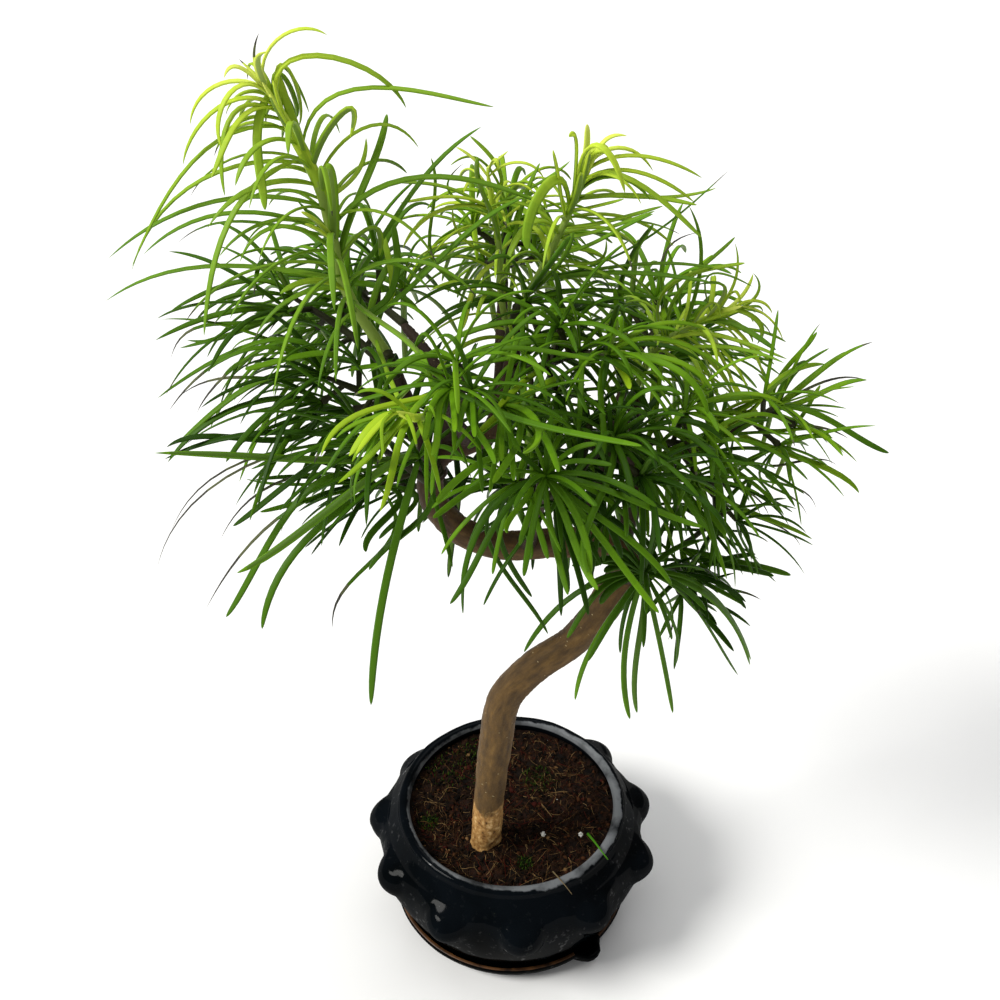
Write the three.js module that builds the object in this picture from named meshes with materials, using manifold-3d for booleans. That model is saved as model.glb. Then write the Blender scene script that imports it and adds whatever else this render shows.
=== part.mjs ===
// Golden larch bonsai with an S-shaped trunk, in a round studded pot that stands in its saucer.
// Millimetres. X runs to the right, Y away from the front and Z up.
// The origin is in the middle of the saucer's flat underside, on the axis of the pot.

import * as THREE from "three";
import { mergeVertices } from "three/addons/utils/BufferGeometryUtils.js";
import Module from "manifold-3d";

const wasm = await Module();
wasm.setup();

// Driving dimensions of the saucer, the pot and the soil
const CLEARANCE = 0.3;
const SAUCER = { footRadius: 50, rimRadius: 59.4, height: 10.5, wall: 2.8, floor: 3.2, segments: 32 };
const LUMP = { radius: 4.6, azimuth: -53, height: 6.5 };
const POT = { footRadius: 46, bellyRadius: 63.5, neckRadius: 55, mouthRadius: 49.5, segments: 34 };
const LIP = { radius: 2.8, height: 61.8 };
const STUD = { count: 11, firstAzimuth: -86, height: 42, sunk: 61.5, across: 10.5, proud: 9.5 };
const WALL = 5;
const SOIL = { height: 58, edgeDrop: 2.5, segments: 28 };

// The trunk in three runs, split at its two wide bends: x, y, z and radius along it
const TRUNK = {
  trunk_lower: [
    [-13, -22, SOIL.height + CLEARANCE, 7.9],
    [-12.2, -22.5, 68, 7.1],
    [-10, -23, 98, 6.9],
    [-7.2, -23, 130, 7.4],
    [-3, -23, 156, 7.2],
    [9.5, -23, 174, 6.8],
    [25.5, -23, 189, 6.5],
    [38, -20, 207, 7.1],
    [45, -15, 221, 7.2],
  ],
  trunk_middle: [
    [40, -12, 229, 6.6],
    [18, -11, 229, 6.1],
    [-5, -11, 228, 6],
    [-21, -12, 236, 5.8],
    [-30, -13, 249, 5.4],
  ],
  trunk_upper: [
    [-32, -13, 260, 5.1],
    [-28, -11, 270, 4.6],
    [-10, -6, 277, 3.7],
    [-4, -4, 294, 2.9],
    [0, -2, 312, 2.5],
    [2, 0, 327, 2.2],
  ],
};

// The boughs: the limb that each one grows from, then its run as for the trunk
const BOUGHS = {
  bough_left: ["trunk_upper", [-31, -13, 263, 3.9], [-37, -15, 290, 2.9], [-45, -18, 317, 2.3]],
  bough_left_front: ["trunk_upper", [-18, -8, 275, 3], [-22, -34, 301, 2.4], [-24, -60, 324, 2]],
  bough_front: ["trunk_middle", [5, -11, 228.5, 3.4], [8, -34, 262, 2.6], [9, -58, 290, 2]],
  bough_right: ["trunk_middle", [41, -12, 229, 4], [47, -8, 250, 3.2], [45, -2, 270, 2.8], [46, 6, 290, 2.3]],
  bough_right_outer: ["bough_right", [46.5, -5, 259, 2.7], [68, -3, 269, 2.2], [86, 0, 276, 1.8]],
  bough_low: ["trunk_lower", [42, -17, 216, 3.2], [48, -32, 231, 2.4], [47, -44, 240, 2]],
  bough_back_left: ["trunk_upper", [-24, -10, 273, 3], [-30, 18, 291, 2.4], [-44, 36, 302, 1.9]],
  bough_back: ["trunk_upper", [-5, -4, 290, 2.7], [-5, 24, 306, 2.2], [-4, 46, 314, 1.8]],
  bough_back_right: ["trunk_middle", [26, -11, 229, 3.2], [38, 18, 254, 2.5], [47, 42, 278, 1.9]],
};

// The masses of needles: the limb that carries each stem, the stem's run, and how it is clad.
// A shoot is clad along its length. A spray carries short spurs that end in a rosette.
// Each reach is the tip of a long needle that marks the crown's outline.
const MASSES = {
  leader: {
    limb: "bough_left",
    stem: [[-45, -18, 317], [-57, -18, 341], [-63, -14, 374], [-71, -11, 395], [-78, -9, 412]],
    shoot: { needles: 31, length: 66 },
    reach: [[-59, -14, 424], [-7, -9, 399], [-35, -9, 399], [-133, -20, 353], [-143, 0, 331]],
  },
  top_right: {
    limb: "trunk_upper",
    stem: [[2, 0, 327], [10, 3, 341], [19, 4, 362], [24, 4, 387]],
    shoot: { needles: 25, length: 50 },
    reach: [[68, 4, 372], [38, 4, 392]],
  },
  top_centre: {
    limb: "trunk_upper",
    stem: [[-0.5, -2.3, 309], [-7, 5, 320], [-9, 11, 345], [-10, 12, 367]],
    shoot: { needles: 22, length: 46 },
    reach: [[-18, 14, 378]],
  },
  right_upper: {
    limb: "bough_right",
    stem: [[46, 6, 290], [53, 12, 303], [70, 15, 313], [91, 15, 321]],
    shoot: { needles: 24, length: 50 },
    reach: [[100, 20, 338]],
  },
  bright_front: {
    limb: "bough_left_front",
    stem: [[-24, -60, 324], [-30, -74, 334], [-36, -90, 339], [-46, -104, 337]],
    shoot: { needles: 20, length: 40 },
    reach: [],
  },
  left_front: {
    limb: "bough_left_front",
    stem: [[-22, -44, 310], [-14, -56, 321], [-14, -68, 331]],
    spray: { spurs: 2, length: 46 },
    reach: [[33, -105, 335]],
  },
  centre_front: {
    limb: "bough_front",
    stem: [[9, -58, 290], [9, -64, 296], [9, -70, 301]],
    spray: { spurs: 3, length: 50 },
    reach: [],
  },
  low_front: {
    limb: "bough_low",
    stem: [[47, -44, 240], [47, -48, 243], [46, -52, 247]],
    spray: { spurs: 3, length: 52 },
    reach: [[44, -65, 189], [60, -60, 186], [94, -35, 186]],
  },
  left_low: {
    limb: "trunk_upper",
    stem: [[-31, -13, 258], [-40, -26, 276], [-48, -40, 294]],
    spray: { spurs: 3, length: 58 },
    reach: [[-119, -50, 296], [-105, -50, 228], [-90, -60, 229], [-68, -45, 216], [-54, -60, 200]],
  },
  left_middle: {
    limb: "bough_left",
    stem: [[-38, -15, 293], [-52, -20, 302], [-66, -22, 310]],
    spray: { spurs: 3, length: 62 },
    reach: [[-137, -30, 262]],
  },
  left_upper: {
    limb: "bough_left",
    stem: [[-43, -17, 309], [-60, -4, 318], [-80, 6, 327]],
    spray: { spurs: 3, length: 60 },
    reach: [],
  },
  crown_middle: {
    limb: "trunk_upper",
    stem: [[-2, -3, 301], [10, -14, 310], [22, -22, 320]],
    spray: { spurs: 3, length: 52 },
    reach: [],
  },
  centre_right: {
    limb: "bough_front",
    stem: [[8, -38, 266], [20, -44, 284], [32, -50, 302]],
    spray: { spurs: 2, length: 50 },
    reach: [],
  },
  right_outer: {
    limb: "bough_right_outer",
    stem: [[86, 0, 276], [92, 0, 280], [98, 0, 285]],
    spray: { spurs: 3, length: 48 },
    reach: [[139, -10, 272], [128, 0, 311], [136, 0, 248]],
  },
  right_middle: {
    limb: "bough_right",
    stem: [[45, -2, 271], [56, -14, 278], [67, -26, 284]],
    spray: { spurs: 2, length: 50 },
    reach: [],
  },
  right_low: {
    limb: "bough_right_outer",
    stem: [[64, -3, 267], [74, -14, 257], [84, -22, 248]],
    spray: { spurs: 3, length: 50 },
    reach: [[117, 0, 222]],
  },
  low_right: {
    limb: "trunk_lower",
    stem: [[41, -17.5, 215], [57, -20, 222], [70, -24, 226]],
    spray: { spurs: 2, length: 48 },
    reach: [],
  },
  back_left: {
    limb: "bough_back_left",
    stem: [[-44, 36, 302], [-54, 44, 306], [-66, 50, 308]],
    spray: { spurs: 3, length: 54 },
    reach: [],
  },
  back_top: {
    limb: "bough_back",
    stem: [[-4, 46, 314], [-4, 56, 321], [-3, 66, 328]],
    spray: { spurs: 3, length: 52 },
    reach: [],
  },
  back_right: {
    limb: "bough_back_right",
    stem: [[47, 42, 278], [54, 52, 284], [62, 60, 290]],
    spray: { spurs: 3, length: 52 },
    reach: [],
  },
  back_low: {
    limb: "trunk_middle",
    stem: [[8, -11, 228], [8, 12, 240], [10, 36, 252]],
    spray: { spurs: 3, length: 52 },
    reach: [],
  },
  back_low_left: {
    limb: "trunk_middle",
    stem: [[-20, -12, 235], [-30, 10, 248], [-42, 28, 262]],
    spray: { spurs: 3, length: 52 },
    reach: [],
  },
};

// How limbs, needles, spurs and stems are cut
const TRUNK_SIDES = 10;
const TRUNK_STEP = 9;
const BOUGH_SIDES = 6;
const BOUGH_STEP = 10;
const NEEDLE = { width: 4.4, thickness: 1.3, shootRings: [0.2, 0.62], sprayRings: [0.42] };
const ROSETTE = { needles: 8, widestSplay: 100 };
const STEM = { radius: 2.1, tipRadius: 1.5, knob: 3.2 };
const SPACE_SLACK = 14;

// The rule of growth: each pair goes from a stem's foot to its tip, and a length or a splay of a
// needle varies by the shares given
const SHOOT = { start: 0.14, heart: 0.6, splay: [78, 26], length: [1.1, 0.62], bend: [0.6, 1.7] };
const SHOOT_VARY = { length: [0.88, 1.12], bend: [0.8, 1.2] };
const SPUR = { start: 0.5, span: 0.45, lean: 1.2, length: [9.6, 17.6], outward: 0.5 };
const SPRAY_VARY = { length: [0.82, 1.12], bend: [0.2, 0.7], turn: 0.3 };
const REACH = { elbow: 0.45, rise: 0.16 };
const RETRY = { times: 12, turn: 0.2, shorter: 0.03 };
const GUARD = { shares: [0.12, 0.4, 0.7, 1], widths: [1, 1, 0.55] };
const GOLDEN_ANGLE = THREE.MathUtils.degToRad(137.508);
const UP = new THREE.Vector3(0, 0, 1);
const CROWN_HEART = new THREE.Vector3(-2, -8, 285);

const MATERIALS = {
  glaze: new THREE.MeshStandardMaterial({ color: 0x0d1420, roughness: 0.18, metalness: 0 }),
  soil: new THREE.MeshStandardMaterial({ color: 0x2e1d12, roughness: 0.95, metalness: 0 }),
  bark: new THREE.MeshStandardMaterial({ color: 0x6b5a44, roughness: 0.8, metalness: 0 }),
  needles: new THREE.MeshStandardMaterial({ color: 0x4c8a1e, roughness: 0.5, metalness: 0 }),
  freshNeedles: new THREE.MeshStandardMaterial({ color: 0x9ccc2b, roughness: 0.5, metalness: 0 }),
};

const root = new THREE.Group();

// Solids and meshes

function vector(place) {
  return new THREE.Vector3(place[0], place[1], place[2]);
}

function solidOf(geometry) {
  const bare = geometry.clone();
  bare.deleteAttribute("normal");
  bare.deleteAttribute("uv");
  const merged = mergeVertices(bare, 1e-4);
  const vertProperties = new Float32Array(merged.attributes.position.array);
  const triVerts = new Uint32Array(merged.index.array);
  return new wasm.Manifold(new wasm.Mesh({ numProp: 3, vertProperties, triVerts }));
}

function join(solids) {
  return solids.reduce((sum, solid) => sum.add(solid));
}

// Keeps the one main body, so loose scraps are dropped and sealed hollows are filled.
function mainBody(solid) {
  return solid.decompose().reduce((best, body) => (body.volume() > best.volume() ? body : best));
}

function addMesh(name, solid, material) {
  const made = solid.getMesh();
  const geometry = new THREE.BufferGeometry();
  geometry.setAttribute("position", new THREE.BufferAttribute(new Float32Array(made.vertProperties), 3));
  geometry.setIndex(new THREE.BufferAttribute(new Uint32Array(made.triVerts), 1));
  geometry.computeVertexNormals();
  const mesh = new THREE.Mesh(geometry, material);
  mesh.name = name;
  root.add(mesh);
}

// A profile of [radius, height] pairs that starts and ends on the axis, turned about Z.
function turned(profile, segments) {
  const points = profile.map(([radius, height]) => new THREE.Vector2(radius, height));
  return new THREE.LatheGeometry(points, segments).rotateX(Math.PI / 2);
}

// A closed solid of flat rings that follow each other, with its two ends capped.
function lofted(rings) {
  const sides = rings[0].length;
  const positions = rings.flat().flatMap((point) => point.toArray());
  const faces = [];
  for (let ring = 0; ring + 1 < rings.length; ring += 1) {
    for (let side = 0; side < sides; side += 1) {
      const a = ring * sides + side;
      const b = ring * sides + ((side + 1) % sides);
      faces.push(a, b, b + sides, a, b + sides, a + sides);
    }
  }
  const last = (rings.length - 1) * sides;
  for (let side = 1; side + 1 < sides; side += 1) {
    faces.push(0, side + 1, side, last, last + side, last + side + 1);
  }
  const geometry = new THREE.BufferGeometry();
  geometry.setAttribute("position", new THREE.Float32BufferAttribute(positions, 3));
  geometry.setIndex(faces);
  return geometry;
}

// Limbs

// Samples a run of [x, y, z, radius] at even steps.
function spineOf(run, step) {
  const curve = new THREE.CatmullRomCurve3(run.map(vector), false, "centripetal");
  const count = Math.max(2, Math.round(curve.getLength() / step));
  const frames = curve.computeFrenetFrames(count, false);
  const lengths = run.map((_, index) => curveLengthAt(curve, index / (run.length - 1)));
  return Array.from({ length: count + 1 }, (_, index) => {
    const along = (curve.getLength() * index) / count;
    return {
      centre: curve.getPointAt(index / count),
      tangent: frames.tangents[index],
      normal: frames.normals[index],
      binormal: frames.binormals[index],
      radius: radiusAlong(run, lengths, along),
    };
  });
}

function curveLengthAt(curve, parameter) {
  const lengths = curve.getLengths();
  return lengths[Math.round(parameter * (lengths.length - 1))];
}

function radiusAlong(run, lengths, along) {
  let index = 0;
  while (index + 2 < lengths.length && along > lengths[index + 1]) index += 1;
  const share = (along - lengths[index]) / (lengths[index + 1] - lengths[index]);
  return THREE.MathUtils.lerp(run[index][3], run[index + 1][3], THREE.MathUtils.clamp(share, 0, 1));
}

function limbSolid(spine, sides, grown = 0) {
  const rings = spine.map(({ centre, normal, binormal, radius }) =>
    Array.from({ length: sides }, (_, side) => {
      const angle = (2 * Math.PI * side) / sides;
      return centre
        .clone()
        .addScaledVector(normal, (radius + grown) * Math.cos(angle))
        .addScaledVector(binormal, (radius + grown) * Math.sin(angle));
    }),
  );
  return solidOf(lofted(rings));
}

// Keeps a ground-level cut flat, whatever the trunk's lean.
function cutFlat(spine) {
  const first = spine[0];
  first.normal = new THREE.Vector3(1, 0, 0);
  first.binormal = new THREE.Vector3(0, 1, 0);
  return spine;
}

function stepAlong({ centre, tangent }, distance) {
  return centre.clone().addScaledVector(tangent, distance);
}

// Seeded choice and clearances

function between([low, high], share) {
  return THREE.MathUtils.lerp(low, high, share);
}

function seeded(text) {
  let state = [...text].reduce((sum, letter) => (sum * 31 + letter.charCodeAt(0)) >>> 0, 7);
  return () => {
    state = (state + 0x6d2b79f5) >>> 0;
    let mixed = Math.imul(state ^ (state >>> 15), 1 | state);
    mixed = (mixed + Math.imul(mixed ^ (mixed >>> 7), 61 | mixed)) ^ mixed;
    return ((mixed ^ (mixed >>> 14)) >>> 0) / 4294967296;
  };
}

// The shortest distance between the segments p1-q1 and p2-q2.
function segmentDistance(p1, q1, p2, q2) {
  const d1 = q1.clone().sub(p1);
  const d2 = q2.clone().sub(p2);
  const r = p1.clone().sub(p2);
  const a = d1.dot(d1);
  const e = d2.dot(d2);
  const b = d1.dot(d2);
  const c = d1.dot(r);
  const f = d2.dot(r);
  const spread = a * e - b * b;
  let s = spread > 1e-9 ? THREE.MathUtils.clamp((b * f - c * e) / spread, 0, 1) : 0;
  let t = (b * s + f) / e;
  if (t < 0 || t > 1) {
    t = THREE.MathUtils.clamp(t, 0, 1);
    s = THREE.MathUtils.clamp((b * t - c) / a, 0, 1);
  }
  return p1.clone().addScaledVector(d1, s).distanceTo(p2.clone().addScaledVector(d2, t));
}

// The straight pieces of a bent line, each with its radius and the name of its owner.
function strandsOf(points, radii, owner, kind) {
  return points.slice(1).map((end, index) => ({ start: points[index], end, radius: radii[index], owner, kind }));
}

const strands = [];

function touches(trial, gap) {
  return strands.some((other) => {
    const fused = other.owner === trial.owner && other.kind !== "needle";
    if (fused) return false;
    const room = trial.radius + other.radius + gap;
    return segmentDistance(trial.start, trial.end, other.start, other.end) < room;
  });
}

// Growth of the masses

// A needle leaves its root along a heading, and its outer half bends down by so much.
function needleCurve(origin, heading, length, bend) {
  const elbow = origin.clone().addScaledVector(heading, length / 2);
  const falling = heading.clone().addScaledVector(UP, -bend).normalize();
  const tip = elbow.clone().addScaledVector(falling, length / 2);
  return new THREE.QuadraticBezierCurve3(origin.clone(), elbow, tip);
}

function needleTo(origin, tip) {
  const reach = origin.distanceTo(tip);
  const elbow = origin.clone().lerp(tip, REACH.elbow).addScaledVector(UP, reach * REACH.rise);
  return new THREE.QuadraticBezierCurve3(origin.clone(), elbow, tip.clone());
}

function needleSolid(curve, ringShares) {
  const rings = ringShares.map((share) => {
    const centre = curve.getPoint(share);
    const along = curve.getTangent(share);
    const side = along.clone().cross(UP).normalize();
    const ridge = side.clone().cross(along).normalize();
    return [
      centre.clone().addScaledVector(side, NEEDLE.width / 2),
      centre.clone().addScaledVector(ridge, NEEDLE.thickness),
      centre.clone().addScaledVector(side, -NEEDLE.width / 2),
    ];
  });
  const points = [curve.getPoint(0), ...rings.flat(), curve.getPoint(1)];
  const last = 3 * (rings.length - 1);
  const faces = [];
  for (let side = 0; side < 3; side += 1) {
    const a = 1 + side;
    const b = 1 + ((side + 1) % 3);
    faces.push(0, b, a, a + last, b + last, points.length - 1);
    for (let ring = 0; ring < last; ring += 3) {
      faces.push(a + ring, b + ring, b + ring + 3, a + ring, b + ring + 3, a + ring + 3);
    }
  }
  const geometry = new THREE.BufferGeometry();
  geometry.setAttribute("position", new THREE.Float32BufferAttribute(points.flatMap((p) => p.toArray()), 3));
  geometry.setIndex(faces);
  const solid = solidOf(geometry);
  if (solid.volume() > 0) return solid;
  geometry.setIndex(faces.reverse());
  return solidOf(geometry);
}

function placeNeedle(mass, curve, centres) {
  const tip = curve.getPoint(1);
  const nearest = Math.min(...centres.filter(([name]) => name !== mass).map(([, at]) => at.distanceTo(tip)));
  const own = centres.find(([name]) => name === mass)[1].distanceTo(tip);
  if (own > nearest + SPACE_SLACK) return false;
  const outer = GUARD.shares.map((share) => curve.getPoint(share));
  const radii = GUARD.widths.map((share) => (share * NEEDLE.width) / 2);
  const trial = strandsOf(outer, radii, mass, "needle");
  if (trial.some((strand) => touches(strand, CLEARANCE))) return false;
  strands.push(...trial);
  return true;
}

// Tries a needle as wished, then shorter and turned a little, and skips it if nothing fits.
function growNeedle(mass, centres, origin, heading, length, bend, random) {
  for (let attempt = 0; attempt < RETRY.times; attempt += 1) {
    const turnedBy = new THREE.Vector3(random() - 0.5, random() - 0.5, random() - 0.5);
    const way = heading.clone().addScaledVector(turnedBy, RETRY.turn * attempt).normalize();
    const curve = needleCurve(origin, way, length * (1 - RETRY.shorter * attempt), bend);
    if (placeNeedle(mass, curve, centres)) return [curve];
  }
  return [];
}

// Two directions square to an axis and to each other.
function acrossAxis(axis) {
  const first = axis.clone().cross(Math.abs(axis.z) > 0.9 ? new THREE.Vector3(1, 0, 0) : UP).normalize();
  return [first, axis.clone().cross(first).normalize()];
}

function headingAround(axis, turn, splay) {
  const [first, second] = acrossAxis(axis);
  return axis
    .clone()
    .multiplyScalar(Math.cos(splay))
    .addScaledVector(first, Math.sin(splay) * Math.cos(turn))
    .addScaledVector(second, Math.sin(splay) * Math.sin(turn));
}

// The stem and the spurs of a mass: each rosette has a centre and the axis that it faces along.
function planMass(name, spec) {
  const random = seeded(name);
  const curve = new THREE.CatmullRomCurve3(spec.stem.map(vector), false, "centripetal");
  const stem = curve.getSpacedPoints(spec.shoot ? 8 : 4);
  const rosettes = [];
  if (spec.spray) {
    const tipAxis = curve.getTangentAt(1);
    const outward = stem.at(-1).clone().sub(CROWN_HEART).normalize();
    rosettes.push({ centre: stem.at(-1), axis: tipAxis.add(outward).add(UP).normalize(), spur: [] });
    for (let index = 0; index < spec.spray.spurs; index += 1) {
      const share = SPUR.start + (SPUR.span * index) / spec.spray.spurs;
      const from = curve.getPointAt(share);
      const around = headingAround(curve.getTangentAt(share), index * GOLDEN_ANGLE + random(), SPUR.lean);
      const facing = around.clone().addScaledVector(outward, SPUR.outward).normalize();
      const centre = from.clone().addScaledVector(around, between(SPUR.length, random()));
      rosettes.push({ centre, axis: facing, spur: [from, centre] });
    }
  }
  const heart = spec.shoot ? curve.getPointAt(SHOOT.heart) : stem.at(-1).clone();
  return { name, spec, random, curve, stem, rosettes, heart };
}

// The long needles that mark the crown's outline, each from the nearest place on its mass.
function reachingNeedles({ name, spec, stem, rosettes }, centres) {
  const starts = spec.shoot ? stem.slice(2) : rosettes.map(({ centre }) => centre);
  const curves = spec.reach.map((place) => {
    const tip = vector(place);
    const start = starts.reduce((best, at) => (at.distanceTo(tip) < best.distanceTo(tip) ? at : best));
    return needleTo(start, tip);
  });
  return curves.filter((curve) => placeNeedle(name, curve, centres));
}

function claddingNeedles({ name, spec, random, curve, rosettes }, centres) {
  const needles = [];
  if (spec.shoot) {
    const { needles: count, length } = spec.shoot;
    for (let index = 0; index < count; index += 1) {
      const share = SHOOT.start + ((1 - SHOOT.start) * index) / (count - 1);
      const axis = curve.getTangentAt(share);
      const splay = THREE.MathUtils.degToRad(between(SHOOT.splay, share ** 2));
      const heading = headingAround(axis, index * GOLDEN_ANGLE, splay);
      const long = length * between(SHOOT.length, share ** 2) * between(SHOOT_VARY.length, random());
      const bend = between(SHOOT.bend, share ** 2) * between(SHOOT_VARY.bend, random());
      needles.push(...growNeedle(name, centres, curve.getPointAt(share), heading, long, bend, random));
    }
  }
  for (const { centre, axis } of rosettes) {
    const { length } = spec.spray;
    const count = ROSETTE.needles;
    const widest = 1 - Math.cos(THREE.MathUtils.degToRad(ROSETTE.widestSplay));
    for (let index = 0; index < count; index += 1) {
      const splay = Math.acos(1 - widest * ((index + 0.5) / count));
      const heading = headingAround(axis, index * GOLDEN_ANGLE + random() * SPRAY_VARY.turn, splay);
      const long = length * between(SPRAY_VARY.length, random());
      const bend = between(SPRAY_VARY.bend, random());
      needles.push(...growNeedle(name, centres, centre, heading, long, bend, random));
    }
  }
  return needles;
}

function twigSolid(points, startRadius, endRadius) {
  const run = points.map((point, index) => {
    const radius = THREE.MathUtils.lerp(startRadius, endRadius, index / (points.length - 1));
    return [point.x, point.y, point.z, radius];
  });
  const step = points[0].distanceTo(points.at(-1)) / (points.length - 1);
  return limbSolid(spineOf(run, step), 3);
}

function knobSolid(centre) {
  return solidOf(new THREE.OctahedronGeometry(STEM.knob).translate(centre.x, centre.y, centre.z));
}

function massSolid(plan) {
  const parts = [twigSolid(plan.stem, STEM.radius, STEM.tipRadius), knobSolid(plan.stem.at(-1))];
  for (const { centre, spur } of plan.rosettes) {
    if (spur.length) parts.push(twigSolid(spur, STEM.tipRadius, STEM.tipRadius), knobSolid(centre));
  }
  const rings = plan.spec.shoot ? NEEDLE.shootRings : NEEDLE.sprayRings;
  return join([...parts, ...plan.needles.map((curve) => needleSolid(curve, rings))]);
}

// The saucer, a shallow dish with one lump of run glaze on its edge

const rim = SAUCER.rimRadius;
const saucerSolid = solidOf(
  turned(
    [
      [0, 0],
      [SAUCER.footRadius, 0],
      [rim - 4, 2.2],
      [rim, SAUCER.height - 2],
      [rim - 0.4, SAUCER.height - 0.5],
      [rim - 1.4, SAUCER.height],
      [rim - SAUCER.wall, SAUCER.height - 0.7],
      [rim - SAUCER.wall - 1.4, 6],
      [SAUCER.footRadius, SAUCER.floor],
      [0, SAUCER.floor],
    ],
    SAUCER.segments,
  ),
);
const lumpAt = THREE.MathUtils.degToRad(LUMP.azimuth);
const lump = new THREE.SphereGeometry(LUMP.radius, 8, 6).scale(1.25, 1.1, 0.95).rotateZ(lumpAt);
lump.translate(Math.cos(lumpAt) * (rim + 0.5), Math.sin(lumpAt) * (rim + 0.5), LUMP.height);
addMesh("saucer", saucerSolid.add(solidOf(lump)), MATERIALS.glaze);

// The pot, a turned bowl with a rolled lip and one ring of studs round its belly

const foot = SAUCER.floor + CLEARANCE;
const lipCentre = POT.mouthRadius + LIP.radius;
const lipArc = Array.from({ length: 5 }, (_, index) => {
  const angle = (Math.PI * index) / 4;
  return [lipCentre + LIP.radius * Math.cos(angle), LIP.height + LIP.radius * Math.sin(angle)];
});
const outerWall = [
  [POT.footRadius, foot],
  [POT.bellyRadius - 12.2, 11.7],
  [POT.bellyRadius - 6.8, 19.8],
  [POT.bellyRadius - 2.3, 29],
  [POT.bellyRadius - 0.2, 37],
  [POT.bellyRadius - 0.4, 45],
  [POT.bellyRadius - 4.2, 54],
  [POT.neckRadius + 0.4, 59.4],
];
const innerWall = [
  [POT.mouthRadius, 60],
  [POT.mouthRadius + 3.6, 53],
  [POT.bellyRadius - WALL, 42],
  [POT.bellyRadius - WALL - 2.4, 29],
  [POT.bellyRadius - WALL - 6.8, 20],
  [POT.footRadius, foot + WALL + 3],
  [0, foot + WALL],
];
const potShell = solidOf(turned([[0, foot], ...outerWall, ...lipArc, ...innerWall], POT.segments));
const studs = Array.from({ length: STUD.count }, (_, index) => {
  const azimuth = THREE.MathUtils.degToRad(STUD.firstAzimuth) + (2 * Math.PI * index) / STUD.count;
  const stud = new THREE.SphereGeometry(1, 8, 5).rotateX(Math.PI / 2);
  stud.scale(STUD.proud, STUD.across, STUD.across).translate(STUD.sunk, 0, STUD.height);
  return solidOf(stud.rotateZ(azimuth));
});
const cavity = solidOf(turned([[0, foot + WALL], ...innerWall.slice(0, -1).reverse(), [0, 60]], POT.segments));
addMesh("pot", potShell.add(join(studs).subtract(cavity)), MATERIALS.glaze);

// The soil fills the pot up to a level top that falls a little at the wall

const soilWall = innerWall.slice(1, -1).map(([radius, height]) => [radius - CLEARANCE, height]);
const soilProfile = [
  [0, foot + WALL + CLEARANCE],
  ...soilWall.reverse(),
  [POT.mouthRadius + 0.6, SOIL.height - SOIL.edgeDrop],
  [POT.mouthRadius - 6, SOIL.height],
  [0, SOIL.height],
];
addMesh("soil", solidOf(turned(soilProfile, SOIL.segments)), MATERIALS.soil);

// The trunk, whose runs meet face to face, and the boughs, each cut back clear of the limbs that it grows from

const limbs = {};
const trunkSpine = cutFlat(spineOf(Object.values(TRUNK).flat(), TRUNK_STEP));
const trunkGrown = limbSolid(trunkSpine, TRUNK_SIDES, CLEARANCE);
let firstRing = 0;
for (const [name, run] of Object.entries(TRUNK)) {
  const end = vector(run.at(-1));
  const gaps = trunkSpine.map(({ centre }) => centre.distanceTo(end));
  const lastRing = gaps.indexOf(Math.min(...gaps));
  const spine = trunkSpine.slice(firstRing, lastRing + 1);
  if (firstRing > 0) spine[0] = { ...spine[0], centre: stepAlong(spine[0], CLEARANCE) };
  limbs[name] = { spine, grown: trunkGrown };
  addMesh(name, limbSolid(spine, TRUNK_SIDES), MATERIALS.bark);
  firstRing = lastRing;
}

for (const [name, [parent, ...run]] of Object.entries(BOUGHS)) {
  const spine = spineOf(run, BOUGH_STEP);
  const bough = limbSolid(spine, BOUGH_SIDES).subtract(trunkGrown).subtract(limbs[parent].grown);
  limbs[name] = { spine, grown: limbSolid(spine, BOUGH_SIDES, CLEARANCE) };
  addMesh(name, mainBody(bough), MATERIALS.bark);
}

for (const [name, { spine }] of Object.entries(limbs)) {
  const centres = spine.map(({ centre }) => centre);
  const radii = spine.map(({ radius }) => radius);
  strands.push(...strandsOf(centres, radii, name, "limb"));
}

// The masses of needles: all the stems first, then the spurs, then the outermost needles, then the rest

const plans = Object.entries(MASSES).map(([name, spec]) => planMass(name, spec));
for (const { name, stem } of plans) {
  strands.push(...strandsOf(stem, stem.map(() => STEM.radius), name, "stem"));
}
for (const plan of plans) {
  plan.rosettes = plan.rosettes.filter(({ spur }) => {
    const trial = strandsOf(spur, [STEM.knob], plan.name, "stem");
    if (trial.some((strand) => touches(strand, CLEARANCE))) return false;
    strands.push(...trial);
    return true;
  });
}
const hearts = plans.map(({ name, heart }) => [name, heart]);
for (const plan of plans) plan.needles = reachingNeedles(plan, hearts);
for (const plan of plans) {
  plan.needles.push(...claddingNeedles(plan, hearts));
  const carrier = limbs[plan.spec.limb].grown;
  const solid = mainBody(massSolid(plan).subtract(trunkGrown).subtract(carrier));
  addMesh(plan.name, solid, plan.spec.shoot ? MATERIALS.freshNeedles : MATERIALS.needles);
}

export default root;
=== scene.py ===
"""A golden larch bonsai in a round studded pot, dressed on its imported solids.

The sizes in the classes are millimetres, as in the part's source, and MM turns them to the
scene's metres. X runs to the right, Y away from the camera and Z up.
"""

import logging
import math
from collections.abc import Callable, Sequence
from dataclasses import dataclass, field
from enum import Enum

import bmesh
import bpy
import numpy as np
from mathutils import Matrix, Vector, noise


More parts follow.
